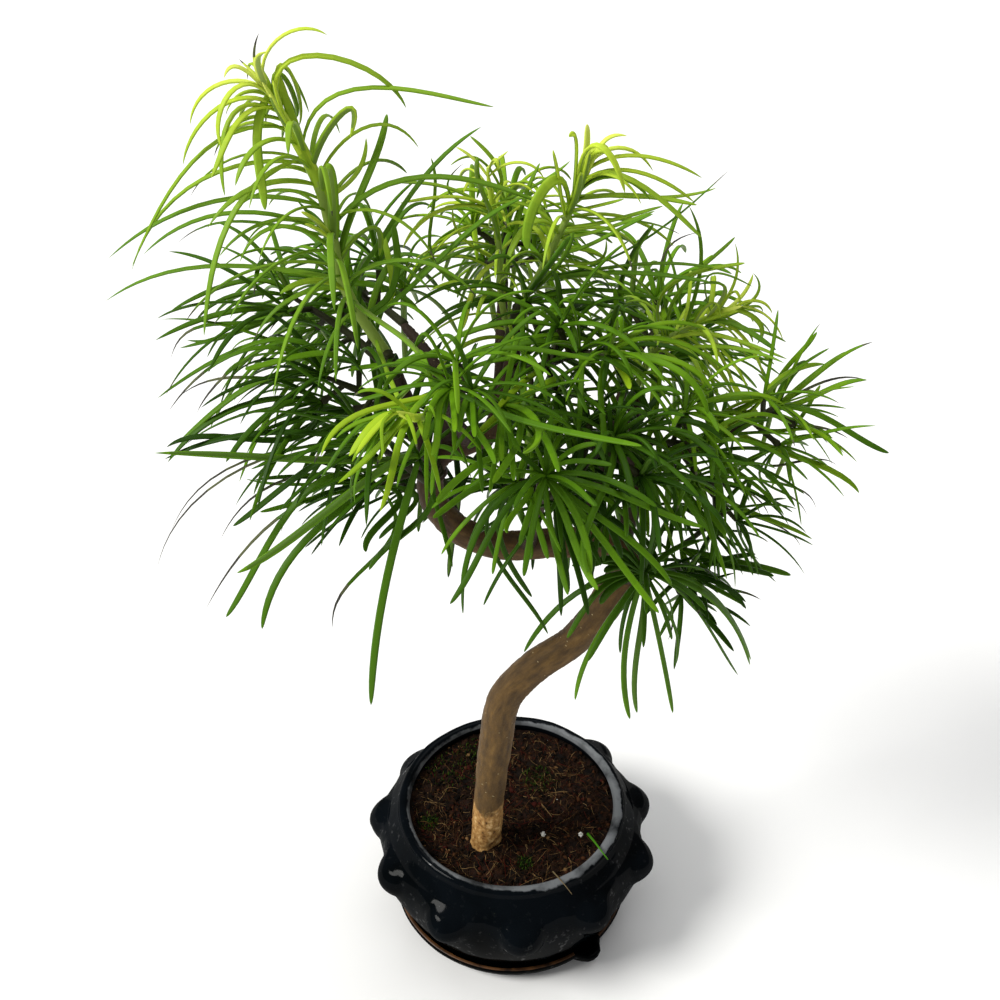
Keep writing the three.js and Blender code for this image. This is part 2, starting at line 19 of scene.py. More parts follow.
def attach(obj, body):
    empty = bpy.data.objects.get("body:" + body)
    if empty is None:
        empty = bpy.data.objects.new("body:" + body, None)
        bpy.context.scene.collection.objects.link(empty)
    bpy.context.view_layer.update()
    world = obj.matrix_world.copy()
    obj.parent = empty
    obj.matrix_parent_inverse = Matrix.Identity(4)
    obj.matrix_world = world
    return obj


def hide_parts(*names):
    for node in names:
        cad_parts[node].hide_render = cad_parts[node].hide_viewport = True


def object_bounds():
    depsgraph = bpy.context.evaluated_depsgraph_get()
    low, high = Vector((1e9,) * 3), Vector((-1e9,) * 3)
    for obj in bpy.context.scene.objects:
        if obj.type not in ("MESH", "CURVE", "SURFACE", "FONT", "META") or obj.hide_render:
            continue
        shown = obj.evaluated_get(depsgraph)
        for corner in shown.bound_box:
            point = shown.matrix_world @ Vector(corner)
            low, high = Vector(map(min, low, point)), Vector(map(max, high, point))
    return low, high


Array = np.ndarray
Triple = tuple[float, float, float]

MM = 0.001
UP = np.array([0.0, 0.0, 1.0])
GOLDEN_ANGLE = math.radians(137.508)
LOG = logging.getLogger("larch")

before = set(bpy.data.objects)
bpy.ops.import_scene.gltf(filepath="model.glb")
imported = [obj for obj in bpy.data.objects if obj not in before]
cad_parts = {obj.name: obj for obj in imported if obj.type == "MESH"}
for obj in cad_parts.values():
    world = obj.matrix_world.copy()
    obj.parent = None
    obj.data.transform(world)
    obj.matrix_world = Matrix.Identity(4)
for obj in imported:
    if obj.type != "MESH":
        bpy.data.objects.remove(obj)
CAD_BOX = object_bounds()


class Slot(Enum):
    """The record's material slots."""

    GLAZE = "glaze"
    SOIL = "soil"
    BARK = "bark"
    NEEDLES = "needles"
    FRESH = "fresh_needles"


# Places, curves and seeded choice


def lerp(start: float, end: float, share: float) -> float:
    """Goes from start to end by a share.

    Args:
        start: The value at share 0.
        end: The value at share 1.
        share: How far along.

    Returns:
        The value between them.
    """
    return start + (end - start) * share


def unit(vector: Array) -> Array:
    """Scales vectors to length 1.

    Args:
        vector: One vector, or an array of them along its last axis.

    Returns:
        The same directions with length 1.
    """
    length = np.linalg.norm(vector, axis=-1, keepdims=True)
    return vector / np.maximum(length, 1e-12)


class Seeded:
    """The source's seeded choice: the same name always gives the same draws."""

    MASK = 0xFFFFFFFF

    def __init__(self, text: str) -> None:
        """Folds the letters of a name into the first state.

        Args:
            text: The name that seeds the draws.
        """
        self.state = 7
        for letter in text:
            self.state = (self.state * 31 + ord(letter)) & self.MASK

    def __call__(self) -> float:
        """Draws the next number.

        Returns:
            The draw, from 0 up to 1.
        """
        self.state = (self.state + 0x6D2B79F5) & self.MASK
        mixed = ((self.state ^ (self.state >> 15)) * (1 | self.state)) & self.MASK
        mixed = (mixed + (((mixed ^ (mixed >> 7)) * (61 | mixed)) & self.MASK)) & self.MASK ^ mixed
        return ((mixed ^ (mixed >> 14)) & self.MASK) / 4294967296

    def between(self, low: float, high: float) -> float:
        """Returns the next draw, spread from low to high."""
        return low + (high - low) * self()


class Curve:
    """A smooth centripetal curve through a few places, measured along its length."""

    FINE = 40

    def __init__(self, places: Sequence[Sequence[float]]) -> None:
        """Samples the curve finely once.

        Args:
            places: The places that the curve passes through, in millimetres.
        """
        knots = np.array([place[:3] for place in places], float)
        padded = np.vstack([2 * knots[0] - knots[1], knots, 2 * knots[-1] - knots[-2]])
        runs = [self._run(padded[index : index + 4]) for index in range(len(knots) - 1)]
        self.points = np.vstack([*runs, knots[-1:]])
        steps = np.linalg.norm(np.diff(self.points, axis=0), axis=1)
        self.lengths = np.concatenate([[0.0], np.cumsum(steps)])
        self.knot_lengths = self.lengths[:: self.FINE]

    def _run(self, four: Array) -> Array:
        """Samples one run between the middle two of four knots.

        Args:
            four: The knots, one per row.

        Returns:
            The run's places, without its last knot.
        """
        gaps = np.sqrt(np.maximum(np.linalg.norm(np.diff(four, axis=0), axis=1), 1e-6))
        t = np.concatenate([[0.0], np.cumsum(gaps)])
        at = np.linspace(t[1], t[2], self.FINE, endpoint=False)[:, None]

        def blend(a: Array, b: Array, low: float, high: float) -> Array:
            """Blends two places by where `at` lies between two knot values."""
            return (high - at) / (high - low) * a + (at - low) / (high - low) * b

        first = blend(four[0], four[1], t[0], t[1])
        middle = blend(four[1], four[2], t[1], t[2])
        last = blend(four[2], four[3], t[2], t[3])
        return blend(blend(first, middle, t[0], t[2]), blend(middle, last, t[1], t[3]), t[1], t[2])

    @property
    def length(self) -> float:
        """The length in millimetres."""
        return float(self.lengths[-1])

    def at(self, share: float) -> Array:
        """Returns the place at a share of the length."""
        along = share * self.length
        return np.array([np.interp(along, self.lengths, self.points[:, axis]) for axis in range(3)])

    def heading(self, share: float) -> Array:
        """Returns the direction of travel at a share of the length."""
        return unit(self.at(min(share + 0.01, 1.0)) - self.at(max(share - 0.01, 0.0)))

    def spaced(self, count: int) -> Array:
        """Returns count + 1 places at even steps."""
        return np.array([self.at(index / count) for index in range(count + 1)])

    def along_knots(self, values: Sequence[float], share: float) -> float:
        """Returns a value given at each knot, such as a radius, at a share of the length."""
        return float(np.interp(share * self.length, self.knot_lengths, values))


def square_to(axis: Array) -> tuple[Array, Array]:
    """Finds two directions square to an axis and to each other.

    Args:
        axis: A direction of length 1.

    Returns:
        The two directions.
    """
    helper = np.array([1.0, 0.0, 0.0]) if abs(axis[2]) > 0.9 else UP
    first = unit(np.cross(axis, helper))
    return first, unit(np.cross(axis, first))


def heading_around(axis: Array, turn: float, splay: float) -> Array:
    """Leans a direction away from an axis.

    Args:
        axis: The direction to lean away from.
        turn: Which way it leans, in radians round the axis.
        splay: How far it leans, in radians.

    Returns:
        The leaning direction.
    """
    first, second = square_to(axis)
    around = first * math.cos(turn) + second * math.sin(turn)
    return axis * math.cos(splay) + around * math.sin(splay)


def ring_frames(line: Array) -> tuple[Array, Array, Array]:
    """Carries a pair of cross directions along a line without twist.

    Args:
        line: The places of the line, one per row.

    Returns:
        The tangents, and the two directions square to them.
    """
    tangents = unit(np.gradient(line, axis=0))
    first, _ = square_to(tangents[0])
    sides = [first]
    for tangent in tangents[1:]:
        sides.append(unit(sides[-1] - tangent * np.dot(sides[-1], tangent)))
    across = np.array(sides)
    return tangents, across, np.cross(tangents, across)


# The view of the photograph


@dataclass(frozen=True)
class PhotoView:
    """The pinhole camera that the photo was taken with, and what its pixels look at."""

    place: Triple = (-5.5, -372.6, 506.7)
    pitch: float = 35.4
    focal_px: float = 1150.0
    image_px: float = 1000.0
    sensor: float = 36.0
    clip_start: float = 0.01

    def unproject(self, pixel: tuple[float, float], depth: float) -> Array:
        """Finds the place that a pixel shows on an upright plane.

        Args:
            pixel: The pixel, across and down.
            depth: The plane's Y in millimetres.

        Returns:
            The place in millimetres.
        """
        across = (pixel[0] - self.image_px / 2) / self.focal_px
        rise = (self.image_px / 2 - pixel[1]) / self.focal_px
        lean = math.radians(self.pitch)
        ray = np.array(
            [across, math.cos(lean) + rise * math.sin(lean), rise * math.cos(lean) - math.sin(lean)]
        )
        return np.array(self.place) + ray * (depth - self.place[1]) / ray[1]

    def project(self, place: Array) -> Array:
        """Finds the pixel that shows a place.

        Args:
            place: The place in millimetres.

        Returns:
            The pixel, across and down.
        """
        lean = math.radians(self.pitch)
        away = place - np.array(self.place)
        depth = away[1] * math.cos(lean) - away[2] * math.sin(lean)
        rise = away[1] * math.sin(lean) + away[2] * math.cos(lean)
        return self.image_px / 2 + self.focal_px / depth * np.array([away[0], -rise])

    def add(self) -> None:
        """Adds the camera and makes it the scene's own."""
        camera = bpy.data.cameras.new("photo_camera")
        camera.sensor_width = self.sensor
        camera.lens = self.focal_px * self.sensor / self.image_px
        camera.clip_start = self.clip_start
        holder = bpy.data.objects.new("photo_camera", camera)
        holder.location = [value * MM for value in self.place]
        holder.rotation_euler = (math.radians(90 - self.pitch), 0, 0)
        bpy.context.scene.collection.objects.link(holder)
        bpy.context.scene.camera = holder


VIEW = PhotoView()


# Finishes


def colour(hex_code: str) -> tuple[float, float, float, float]:
    """Turns a display colour into the linear one that shaders take.

    Args:
        hex_code: Six hexadecimal digits.

    Returns:
        Red, green, blue and alpha.
    """
    shares = [int(hex_code[index : index + 2], 16) / 255 for index in (0, 2, 4)]
    linear = [share / 12.92 if share <= 0.04045 else ((share + 0.055) / 1.055) ** 2.4 for share in shares]
    return (linear[0], linear[1], linear[2], 1.0)


class Shading:
    """Builds the node graph of one material."""

    # Where most of a cloudy pattern lies.
    CLOUDY = (0.3, 0.7)

    def __init__(self, name: str, roughness: float) -> None:
        """Starts a material with one Principled shader.

        Args:
            name: The material's name.
            roughness: The shader's plain roughness.
        """
        self.material = bpy.data.materials.new(name)
        self.material.use_nodes = True
        self.tree = self.material.node_tree
        self.shader = self.tree.nodes["Principled BSDF"]
        self.shader.inputs["Roughness"].default_value = roughness

    def plain(self, **values: float | tuple[float, ...]) -> None:
        """Sets plain values on the shader's own sockets, spaces in their names as underscores."""
        for socket, value in values.items():
            self.shader.inputs[socket.replace("_", " ")].default_value = value

    def node(self, kind: str, inputs: dict | None = None, **settings: object) -> bpy.types.Node:
        """Adds a node.

        Args:
            kind: The node's Blender type.
            inputs: What each input socket is linked to or set to.
            settings: The node's own settings.

        Returns:
            The node.
        """
        made = self.tree.nodes.new(kind)
        for setting, value in settings.items():
            setattr(made, setting, value)
        for socket, value in (inputs or {}).items():
            if isinstance(value, bpy.types.NodeSocket):
                self.tree.links.new(value, made.inputs[socket])
            else:
                made.inputs[socket].default_value = value
        return made

    def coordinates(self, kind: str = "Object", stretch: Triple = (1, 1, 1)) -> bpy.types.NodeSocket:
        """Returns Object or UV coordinates, stretched along each axis."""
        where = self.node("ShaderNodeTexCoord").outputs[kind]
        return self.node("ShaderNodeMapping", {"Vector": where, "Scale": stretch}).outputs["Vector"]

    def calculate(self, operation: str, *values: bpy.types.NodeSocket | float) -> bpy.types.NodeSocket:
        """Returns the result of one operation on sockets or plain values."""
        return self.node("ShaderNodeMath", dict(enumerate(values)), operation=operation).outputs["Value"]

    def cloud(self, where: bpy.types.NodeSocket, scale: float, detail: float) -> bpy.types.NodeSocket:
        """Returns a soft cloudy pattern."""
        inputs = {"Vector": where, "Scale": scale, "Detail": detail, "Roughness": 0.6}
        return self.node("ShaderNodeTexNoise", inputs).outputs["Fac"]

    def ramp(self, value: bpy.types.NodeSocket, stops: Sequence[tuple[float, str]]) -> bpy.types.NodeSocket:
        """Turns a value into a colour.

        Args:
            value: The value, from 0 to 1.
            stops: Each stop's place and display colour.

        Returns:
            The colour socket.
        """
        made = self.node("ShaderNodeValToRGB", {"Fac": value})
        elements = made.color_ramp.elements
        while len(elements) < len(stops):
            elements.new(0.5)
        for element, (at, code) in zip(elements, stops):
            element.position = at
            element.color = colour(code)
        return made.outputs["Color"]

    def span(
        self, value: bpy.types.NodeSocket, source: tuple[float, float], target: tuple[float, float]
    ) -> bpy.types.NodeSocket:
        """Maps a value from one span to another, held within it.

        Args:
            value: The value.
            source: The span that it comes from.
            target: The span that it goes to.

        Returns:
            The mapped value.
        """
        inputs = {
            "Value": value,
            "From Min": source[0],
            "From Max": source[1],
            "To Min": target[0],
            "To Max": target[1],
        }
        return self.node("ShaderNodeMapRange", inputs).outputs["Result"]

    def mix(self, share: bpy.types.NodeSocket, first: object, second: object) -> bpy.types.NodeSocket:
        """Mixes two colours.

        Args:
            share: How much of the second one shows.
            first: The first colour, a socket or a plain value.
            second: The second colour, the same.

        Returns:
            The mixed colour.
        """
        made = self.node("ShaderNodeMix", data_type="RGBA")
        sockets = {"Factor_Float": share, "A_Color": first, "B_Color": second}
        for socket in made.inputs:
            value = sockets.get(socket.identifier)
            if isinstance(value, bpy.types.NodeSocket):
                self.tree.links.new(value, socket)
            elif value is not None:
                socket.default_value = value
        return next(out for out in made.outputs if out.identifier == "Result_Color")

    def feed(self, socket: str, value: bpy.types.NodeSocket) -> None:
        """Links a socket of the shader."""
        self.tree.links.new(value, self.shader.inputs[socket])

    def bump(self, height: bpy.types.NodeSocket, distance: float, strength: float) -> None:
        """Gives the shader a fine relief.

        Args:
            height: The pattern.
            distance: Its height in metres.
            strength: How much of it shows.
        """
        made = self.node("ShaderNodeBump", {"Height": height, "Distance": distance, "Strength": strength})
        self.feed("Normal", made.outputs["Normal"])


@dataclass(frozen=True)
class GlazeFinish:
    """A thick blue-black glaze that is lighter towards the shoulder, partly as painted sheen, and pale along
    the lip's inner edge, partly from wear and partly as painted reflection.
    """

    name: str = "navy_glaze"
    thick: str = "010202"
    thin: str = "070b0f"
    # Partly painted sheen: between these heights the glaze goes from black to a lighter blue-black. This
    # stands for the light on the shoulder as well as for glaze running thin.
    thin_and_sheen_heights: tuple[float, float] = (0.02, 0.056)
    # The lip's pale band, in these colours and the sizes below, is partly worn glaze and partly painted
    # reflection of the light. Its centre is shifted to widen it towards the right front, where the light
    # reflects.
    worn: str = "74777a"
    rubbed: str = "303234"
    gloss: tuple[float, float] = (0.09, 0.4)
    worn_above: float = 0.0601
    worn_tilt: float = 0.042
    worn_within: float = 0.0518
    reflection_offset: float = 0.0014
    worn_fade: float = 0.0006

    def material(self) -> bpy.types.Material:
        """Builds the material.

        Returns:
            The glaze.
        """
        shading = Shading(self.name, 0.12)
        shading.plain(Specular_IOR_Level=0.0, Coat_Roughness=0.09, Coat_IOR=1.45)
        where = shading.coordinates()
        axes = shading.node("ShaderNodeSeparateXYZ", {"Vector": where}).outputs
        # Lighter and bluer towards the shoulder: glaze running thin, and painted sheen.
        thin_glaze_and_sheen = shading.span(axes["Z"], self.thin_and_sheen_heights, (-0.16, 0.16))
        pool_and_sheen = shading.calculate("ADD", shading.cloud(where, 24, 3), thin_glaze_and_sheen)
        body = shading.ramp(pool_and_sheen, [(0.42, self.thick), (0.68, self.thin)])
        ragged = shading.span(shading.cloud(where, 130, 6), Shading.CLOUDY, (-0.0007, 0.0007))
        flat = shading.node("ShaderNodeCombineXYZ", {"X": axes["X"], "Y": axes["Y"]}).outputs["Vector"]
        # Painted reflection: the band's circle is moved towards the right front.
        offset = (self.reflection_offset, -self.reflection_offset, 0)
        shifted = shading.node("ShaderNodeVectorMath", {0: flat, 1: offset}, operation="SUBTRACT")
        reach = shading.node("ShaderNodeVectorMath", {0: shifted.outputs["Vector"]}, operation="LENGTH")
        edge = shading.calculate("ADD", reach.outputs["Value"], ragged)
        inside = shading.span(edge, (self.worn_within, self.worn_within + self.worn_fade), (1.0, 0.0))
        tilted = shading.calculate("MULTIPLY_ADD", axes["Y"], -self.worn_tilt, axes["Z"])
        above = shading.span(tilted, (self.worn_above, self.worn_above + self.worn_fade), (0.0, 0.9))
        worn = shading.calculate("MULTIPLY", inside, above)
        # The band's colour is worn glaze and painted reflection in one.
        wear_and_reflection = shading.ramp(shading.cloud(where, 45, 5), [(0.38, self.rubbed), (0.55, self.worn)])
        shading.feed("Base Color", shading.mix(worn, body, wear_and_reflection))
        shading.feed("Coat Weight", shading.span(shading.cloud(where, 330, 5), (0.6, 0.68), self.gloss))
        shading.bump(shading.cloud(where, 130, 4), 0.0003, 0.35)
        return shading.material


@dataclass(frozen=True)
class RimFinish:
    """Bare brown clay where the glaze ran thin on the saucer's edge."""

    name: str = "brown_rim"
    pale: str = "5c3c20"
    dark: str = "1c0f07"

    def material(self) -> bpy.types.Material:
        """Builds the material.

        Returns:
            The rim's clay.
        """
        shading = Shading(self.name, 0.45)
        shading.plain(Specular_IOR_Level=0.25)
        where = shading.coordinates()
        patches = shading.cloud(where, 140, 5)
        shading.feed("Base Color", shading.ramp(patches, [(0.35, self.dark), (0.62, self.pale)]))
        shading.bump(shading.cloud(where, 900, 3), 0.0001, 0.4)
        return shading.material


@dataclass(frozen=True)
class SoilFinish:
    """Damp brown coir and peat with darker hollows."""

    name: str = "damp_soil"
    tones: tuple[tuple[float, str], ...] = (
        (0.34, "040201"),
        (0.47, "120904"),
        (0.6, "25130a"),
        (0.75, "3b2213"),
    )

    def material(self) -> bpy.types.Material:
        """Builds the material.

        Returns:
            The soil.
        """
        shading = Shading(self.name, 0.85)
        shading.plain(Specular_IOR_Level=0.12)
        where = shading.coordinates()
        shading.feed("Base Color", shading.ramp(shading.cloud(where, 210, 8), self.tones))
        shading.feed("Roughness", shading.span(shading.cloud(where, 300, 3), Shading.CLOUDY, (0.6, 0.95)))
        shading.bump(shading.cloud(where, 900, 6), 0.0008, 0.9)
        return shading.material


@dataclass(frozen=True)
class BarkFinish:
    """Smooth grey-brown bark with pale breathing pores and tan cork at its foot, darkened higher up by
    painted shade from the crown.
    """

    name: str
    tones: tuple[tuple[float, str], ...]
    pore: str = "cdb98c"
    cork: tuple[tuple[float, str], ...] = (
        (0.34, "3a2612"),
        (0.41, "876033"),
        (0.54, "ab824b"),
        (0.68, "d8b680"),
    )
    cork_top: float = 0.09
    cork_fade: float = 0.004
    # Painted shade from the crown: from the first height to the second, the bark is mixed towards a dark
    # brown, up to the last share.
    shade_from: float = 0.205
    shade_to: float = 0.27
    dark: str = "2f1b0d"
    deepest_shade: float = 0.7

    def material(self) -> bpy.types.Material:
        """Builds the material.

        Returns:
            The bark.
        """
        shading = Shading(self.name, 0.6)
        shading.plain(Specular_IOR_Level=0.25)
        where = shading.coordinates()
        along = shading.coordinates("UV")
        streaks = shading.cloud(shading.coordinates("UV", (0.1, 0.3, 1)), 1.0, 4)
        body = shading.ramp(streaks, self.tones)
        blotches = shading.span(shading.cloud(where, 60, 3), (0.42, 0.66), (0.0, 0.45))
        body = shading.mix(blotches, body, colour(self.tones[0][1]))
        grid = {"Vector": shading.coordinates("UV", (1.15, 0.5, 1)), "Scale": 0.42}
        cells = shading.node("ShaderNodeTexVoronoi", grid)
        dots = shading.span(cells.outputs["Distance"], (0.05, 0.1), (1.0, 0.0))
        chance = shading.node("ShaderNodeSeparateColor", {"Color": cells.outputs["Color"]}).outputs["Red"]
        few = shading.span(chance, (0.55, 0.6), (0.0, 0.8))
        body = shading.mix(shading.calculate("MULTIPLY", dots, few), body, colour(self.pore))
        height = shading.node("ShaderNodeSeparateXYZ", {"Vector": where}).outputs["Z"]
        wander = shading.span(shading.cloud(where, 150, 5), Shading.CLOUDY, (-0.006, 0.006))
        ragged = shading.calculate("ADD", height, wander)
        low = shading.span(ragged, (self.cork_top - self.cork_fade, self.cork_top), (1.0, 0.0))
        cracks = shading.cloud(shading.coordinates("UV", (0.3, 0.36, 1)), 1.0, 6)
        foot = shading.ramp(cracks, self.cork)
        # Painted shade: darker with height, under the crown.
        darker = shading.span(height, (self.shade_from, self.shade_to), (0.0, self.deepest_shade))
        body = shading.mix(darker, body, colour(self.dark))
        shading.feed("Base Color", shading.mix(low, body, foot))
        shading.feed("Roughness", shading.span(shading.cloud(along, 1.5, 4), Shading.CLOUDY, (0.5, 0.8)))
        shading.bump(shading.cloud(shading.coordinates("UV", (0.5, 0.9, 1)), 1.6, 8), 0.0004, 0.5)
        return shading.material


@dataclass(frozen=True)
class TintFinish:
    """A plain natural colour, dealt out by spray."""

    name: str
    tone: tuple[float, float, float, float]
    roughness: float = 0.42
    shine: float = 0.09

    def material(self) -> bpy.types.Material:
        """Builds the material.

        Returns:
            The tint.
        """
        shading = Shading(self.name, self.roughness)
        shading.plain(Base_Color=self.tone, Specular_IOR_Level=self.shine)
        return shading.material


@dataclass(frozen=True)
class FloorFinish:
    """Plain pale paper."""

    name: str = "pale_floor"

    def material(self) -> bpy.types.Material:
        """Builds the material.

        Returns:
            The floor's paper.
        """
        shading = Shading(self.name, 0.9)
        shading.plain(Base_Color=(0.93, 0.93, 0.93, 1.0), Specular_IOR_Level=0.1)
        return shading.material


def plain_finishes(name: str, codes: Sequence[str], roughness: float) -> list[bpy.types.Material]:
    """Makes one plain material for each colour.

    Args:
        name: The start of the materials' names.
        codes: The display colours.
        roughness: The roughness of them all.

    Returns:
        The materials.
    """
    return [
        TintFinish(f"{name}_{index}", colour(code), roughness).material()
        for index, code in enumerate(codes)
    ]


# The tints run from lime to the darkest green. In part they are the needles' own colour, such as the lime of
# fresh growth. In part they are painted light and shade: masses inside, low in or behind the crown take
# darker tints as painted shade, and the upper masses take lighter ones as painted light.
DEEP_STOPS = ("dbe860", "b3cf2e", "8aab1c", "5f8a12", "3d630b", "264506", "152d03")
PALE_STOPS = ("e0ea70", "bfd63e", "9cba30", "769d26", "527d1d", "375c13", "22410a")


class Ramp:
    """The needles' tints from lime to deep shade, then the pale bands below and the dry tips."""

    STEPS = 5
    DEEPEST = 14
    PALE = ("a3b763", "74903a", "4d6d22")
    PALE_STEP = 4
    DRY = ("5d6144", "403f38")

    def __init__(self, name: str, codes: Sequence[str]) -> None:
        """Makes one plain material for each tint.

        Args:
            name: The start of the materials' names.
            codes: The colours that the tints pass, from fresh to shaded.
        """
        stops = np.array([colour(code)[:3] for code in codes]) ** 0.5
        marks = np.linspace(0, len(stops) - 1, (len(stops) - 1) * self.STEPS + 1)
        living = np.stack([np.interp(marks, range(len(stops)), channel) ** 2 for channel in stops.T], 1)
        tints = [(*(float(value) for value in tint), 1.0) for tint in living]
        self.materials = [TintFinish(f"{name}_{index}", tint).material() for index, tint in enumerate(tints)]
        self.pale = len(tints)
        self.dry = self.pale + len(self.PALE)
        for index, code in enumerate(self.PALE):
            self.materials.append(TintFinish(f"{name}_band_{index}", colour(code)).material())
        for index, code in enumerate(self.DRY):
            self.materials.append(TintFinish(f"{name}_dry_{index}", colour(code), 0.7).material())

    def level(self, tint: Array) -> Array:
        """Returns the nearest material for a tint, from 0 for lime to DEEPEST for deep shade."""
        return np.clip(np.rint(tint * (self.pale - 1) / self.DEEPEST), 0, self.pale - 1)

    def band(self, tint: float) -> int:
        """Returns the pale band that goes with a living tint."""
        return self.pale + min(int(tint / self.PALE_STEP), len(self.PALE) - 1)


# Meshes


def publish(mesh: bpy.types.Mesh, nodes: Sequence[str] = ()) -> None:
    """Adds a finished piece to the scene and to the frame.

    Args:
        mesh: Its mesh, in place and in metres, which also gives the piece its name.
        nodes: The CAD nodes that it stands for.
    """
    piece = bpy.data.objects.new(mesh.name, mesh)
    bpy.context.scene.collection.objects.link(piece)
    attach(piece, "root")
    if nodes:
        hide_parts(*nodes)
    LOG.info("%s: %d faces", piece.name, len(mesh.polygons))


def mesh_from(name: str, shape: bmesh.types.BMesh, finishes: Sequence[bpy.types.Material]) -> bpy.types.Mesh:
    """Turns a bmesh in millimetres into a mesh in metres.

    Args:
        name: The mesh's name.
        shape: The bmesh, which is freed.
        finishes: Its materials, in slot order.

    Returns:
        The mesh.
    """
    bmesh.ops.scale(shape, vec=(MM, MM, MM), verts=shape.verts)
    for face in shape.faces:
        face.smooth = True
    mesh = bpy.data.meshes.new(name)
    shape.to_mesh(mesh)
    shape.free()
    for finish in finishes:
        mesh.materials.append(finish)
    return mesh


def mesh_of(
    name: str, places: Array, faces: Array, materials: Sequence[bpy.types.Material], indices: Array
) -> bpy.types.Mesh:
    """Joins many small things into one mesh, from arrays.

    Args:
        name: The mesh's name.
        places: The vertices in millimetres.
        faces: The faces, all with the same number of corners.
        materials: The materials that the indices name.
        indices: Each face's material.

    Returns:
        The mesh, with only the materials that it uses.
    """
    corners = faces.shape[1]
    mesh = bpy.data.meshes.new(name)
    mesh.vertices.add(len(places))
    mesh.vertices.foreach_set("co", (places * MM).astype(np.float32).ravel())
    mesh.loops.add(faces.size)
    mesh.loops.foreach_set("vertex_index", faces.astype(np.int32).ravel())
    mesh.polygons.add(len(faces))
    mesh.polygons.foreach_set("loop_start", np.arange(0, faces.size, corners, dtype=np.int32))
    used, slots = np.unique(indices, return_inverse=True)
    for index in used:
        mesh.materials.append(materials[int(index)])
    mesh.polygons.foreach_set("material_index", slots.astype(np.int32))
    mesh.polygons.foreach_set("use_smooth", np.ones(len(faces), bool))
    mesh.update(calc_edges=True)
    mesh.validate()
    return mesh


def tube_grid(rings: int, sides: int, where: Callable[[float, float], Array]) -> bmesh.types.BMesh:
    """Rolls a grid into a closed tube.

    Args:
        rings: How many spans it has along its length.
        sides: How many it has round it.
        where: Gives the place for a share along and a share round.

    Returns:
        The tube, with a UV map of the shares along it and round it.
    """
    shape = bmesh.new()
    layer = shape.loops.layers.uv.new("surface")
    bmesh.ops.create_grid(shape, x_segments=rings, y_segments=sides, size=0.5)
    for face in shape.faces:
        for loop in face.loops:
            loop[layer].uv = (loop.vert.co.x + 0.5, loop.vert.co.y + 0.5)
    for vert in shape.verts:
        vert.co = Vector(where(vert.co.x + 0.5, vert.co.y + 0.5))
    bmesh.ops.remove_doubles(shape, verts=shape.verts, dist=1e-5)
    rims = [edge for edge in shape.edges if edge.is_boundary]
    bmesh.ops.holes_fill(shape, edges=rims, sides=sides + 1)
    bmesh.ops.recalc_face_normals(shape, faces=shape.faces)
    return shape


def tubes(lines: Array, radii: Array, sides: int) -> tuple[Array, Array]:
    """Makes many thin closed tubes at once.

    Args:
        lines: Their centre lines, as tubes by rings by 3.
        radii: Their radii, as tubes by rings.
        sides: How many sides each has.

    Returns:
        The vertices and the four-sided faces.
    """
    count, rings, _ = lines.shape
    tangents = unit(np.gradient(lines, axis=1))
    chord = unit(lines[:, -1] - lines[:, 0])
    helper = np.where(np.abs(chord[:, 2:3]) > 0.9, [[1.0, 0.0, 0.0]], [[0.0, 0.0, 1.0]])
    side = unit(np.cross(chord, helper))[:, None]
    side = unit(side - tangents * np.sum(side * tangents, axis=-1, keepdims=True))
    ridge = np.cross(tangents, side)
    angles = 2 * math.pi * np.arange(sides) / sides
    circle = side[:, :, None] * np.cos(angles)[:, None] + ridge[:, :, None] * np.sin(angles)[:, None]
    places = lines[:, :, None] + circle * radii[:, :, None, None]
    return places.reshape(-1, 3), ring_faces(count, rings, sides)


def ring_faces(count: int, rings: int, sides: int) -> Array:
    """Lists the faces of many equal tubes, whose ends fold flat as closing faces.

    Args:
        count: How many tubes there are.
        rings: How many rings each has.
        sides: How many sides each has, an even number.

    Returns:
        The faces, four corners each.
    """
    ring, side = np.meshgrid(np.arange(rings - 1), np.arange(sides), indexing="ij")
    low = ring * sides + side
    next_low = ring * sides + (side + 1) % sides
    walls = np.stack([low, next_low, next_low + sides, low + sides], axis=-1).reshape(-1, 4)
    first = np.array([[sides - 1 - k, sides - 2 - k, k + 1, k] for k in range(sides // 2 - 1)])
    last = (rings - 1) * sides + first[:, ::-1]
    one = np.vstack([walls, first, last])
    return (one[None] + (np.arange(count) * rings * sides)[:, None, None]).reshape(-1, 4)


def turned(profile: Sequence[tuple[float, float]], segments: int, smooth_steps: int = 1) -> bmesh.types.BMesh:
    """Spins a section about the upright axis into a closed solid.

    Args:
        profile: Radii and heights, starting and ending on the axis.
        segments: How many steps the full turn has.
        smooth_steps: How many spans each side of the section is divided into, on a smooth curve.

    Returns:
        The solid, in millimetres.
    """
    shape = bmesh.new()
    points = [(radius, height, 0.0) for radius, height in profile]
    if smooth_steps > 1:
        curve = Curve(points)
        spans = zip(curve.knot_lengths, curve.knot_lengths[1:])
        marks = [np.linspace(start, end, smooth_steps, endpoint=False) for start, end in spans]
        points = [tuple(curve.at(mark / curve.length)) for mark in np.concatenate(marks)] + [points[-1]]
    verts = [shape.verts.new((max(point[0], 0.0), 0.0, point[1])) for point in points]
    edges = [shape.edges.new(pair) for pair in zip(verts, verts[1:])]
    bmesh.ops.spin(
        shape,
        geom=[*verts, *edges],
        cent=(0, 0, 0),
        axis=(0, 0, 1),
        angle=2 * math.pi,
        steps=segments,
        use_merge=True,
    )
    bmesh.ops.remove_doubles(shape, verts=shape.verts, dist=1e-4)
    bmesh.ops.recalc_face_normals(shape, faces=shape.faces)
    return shape


# The saucer and the pot


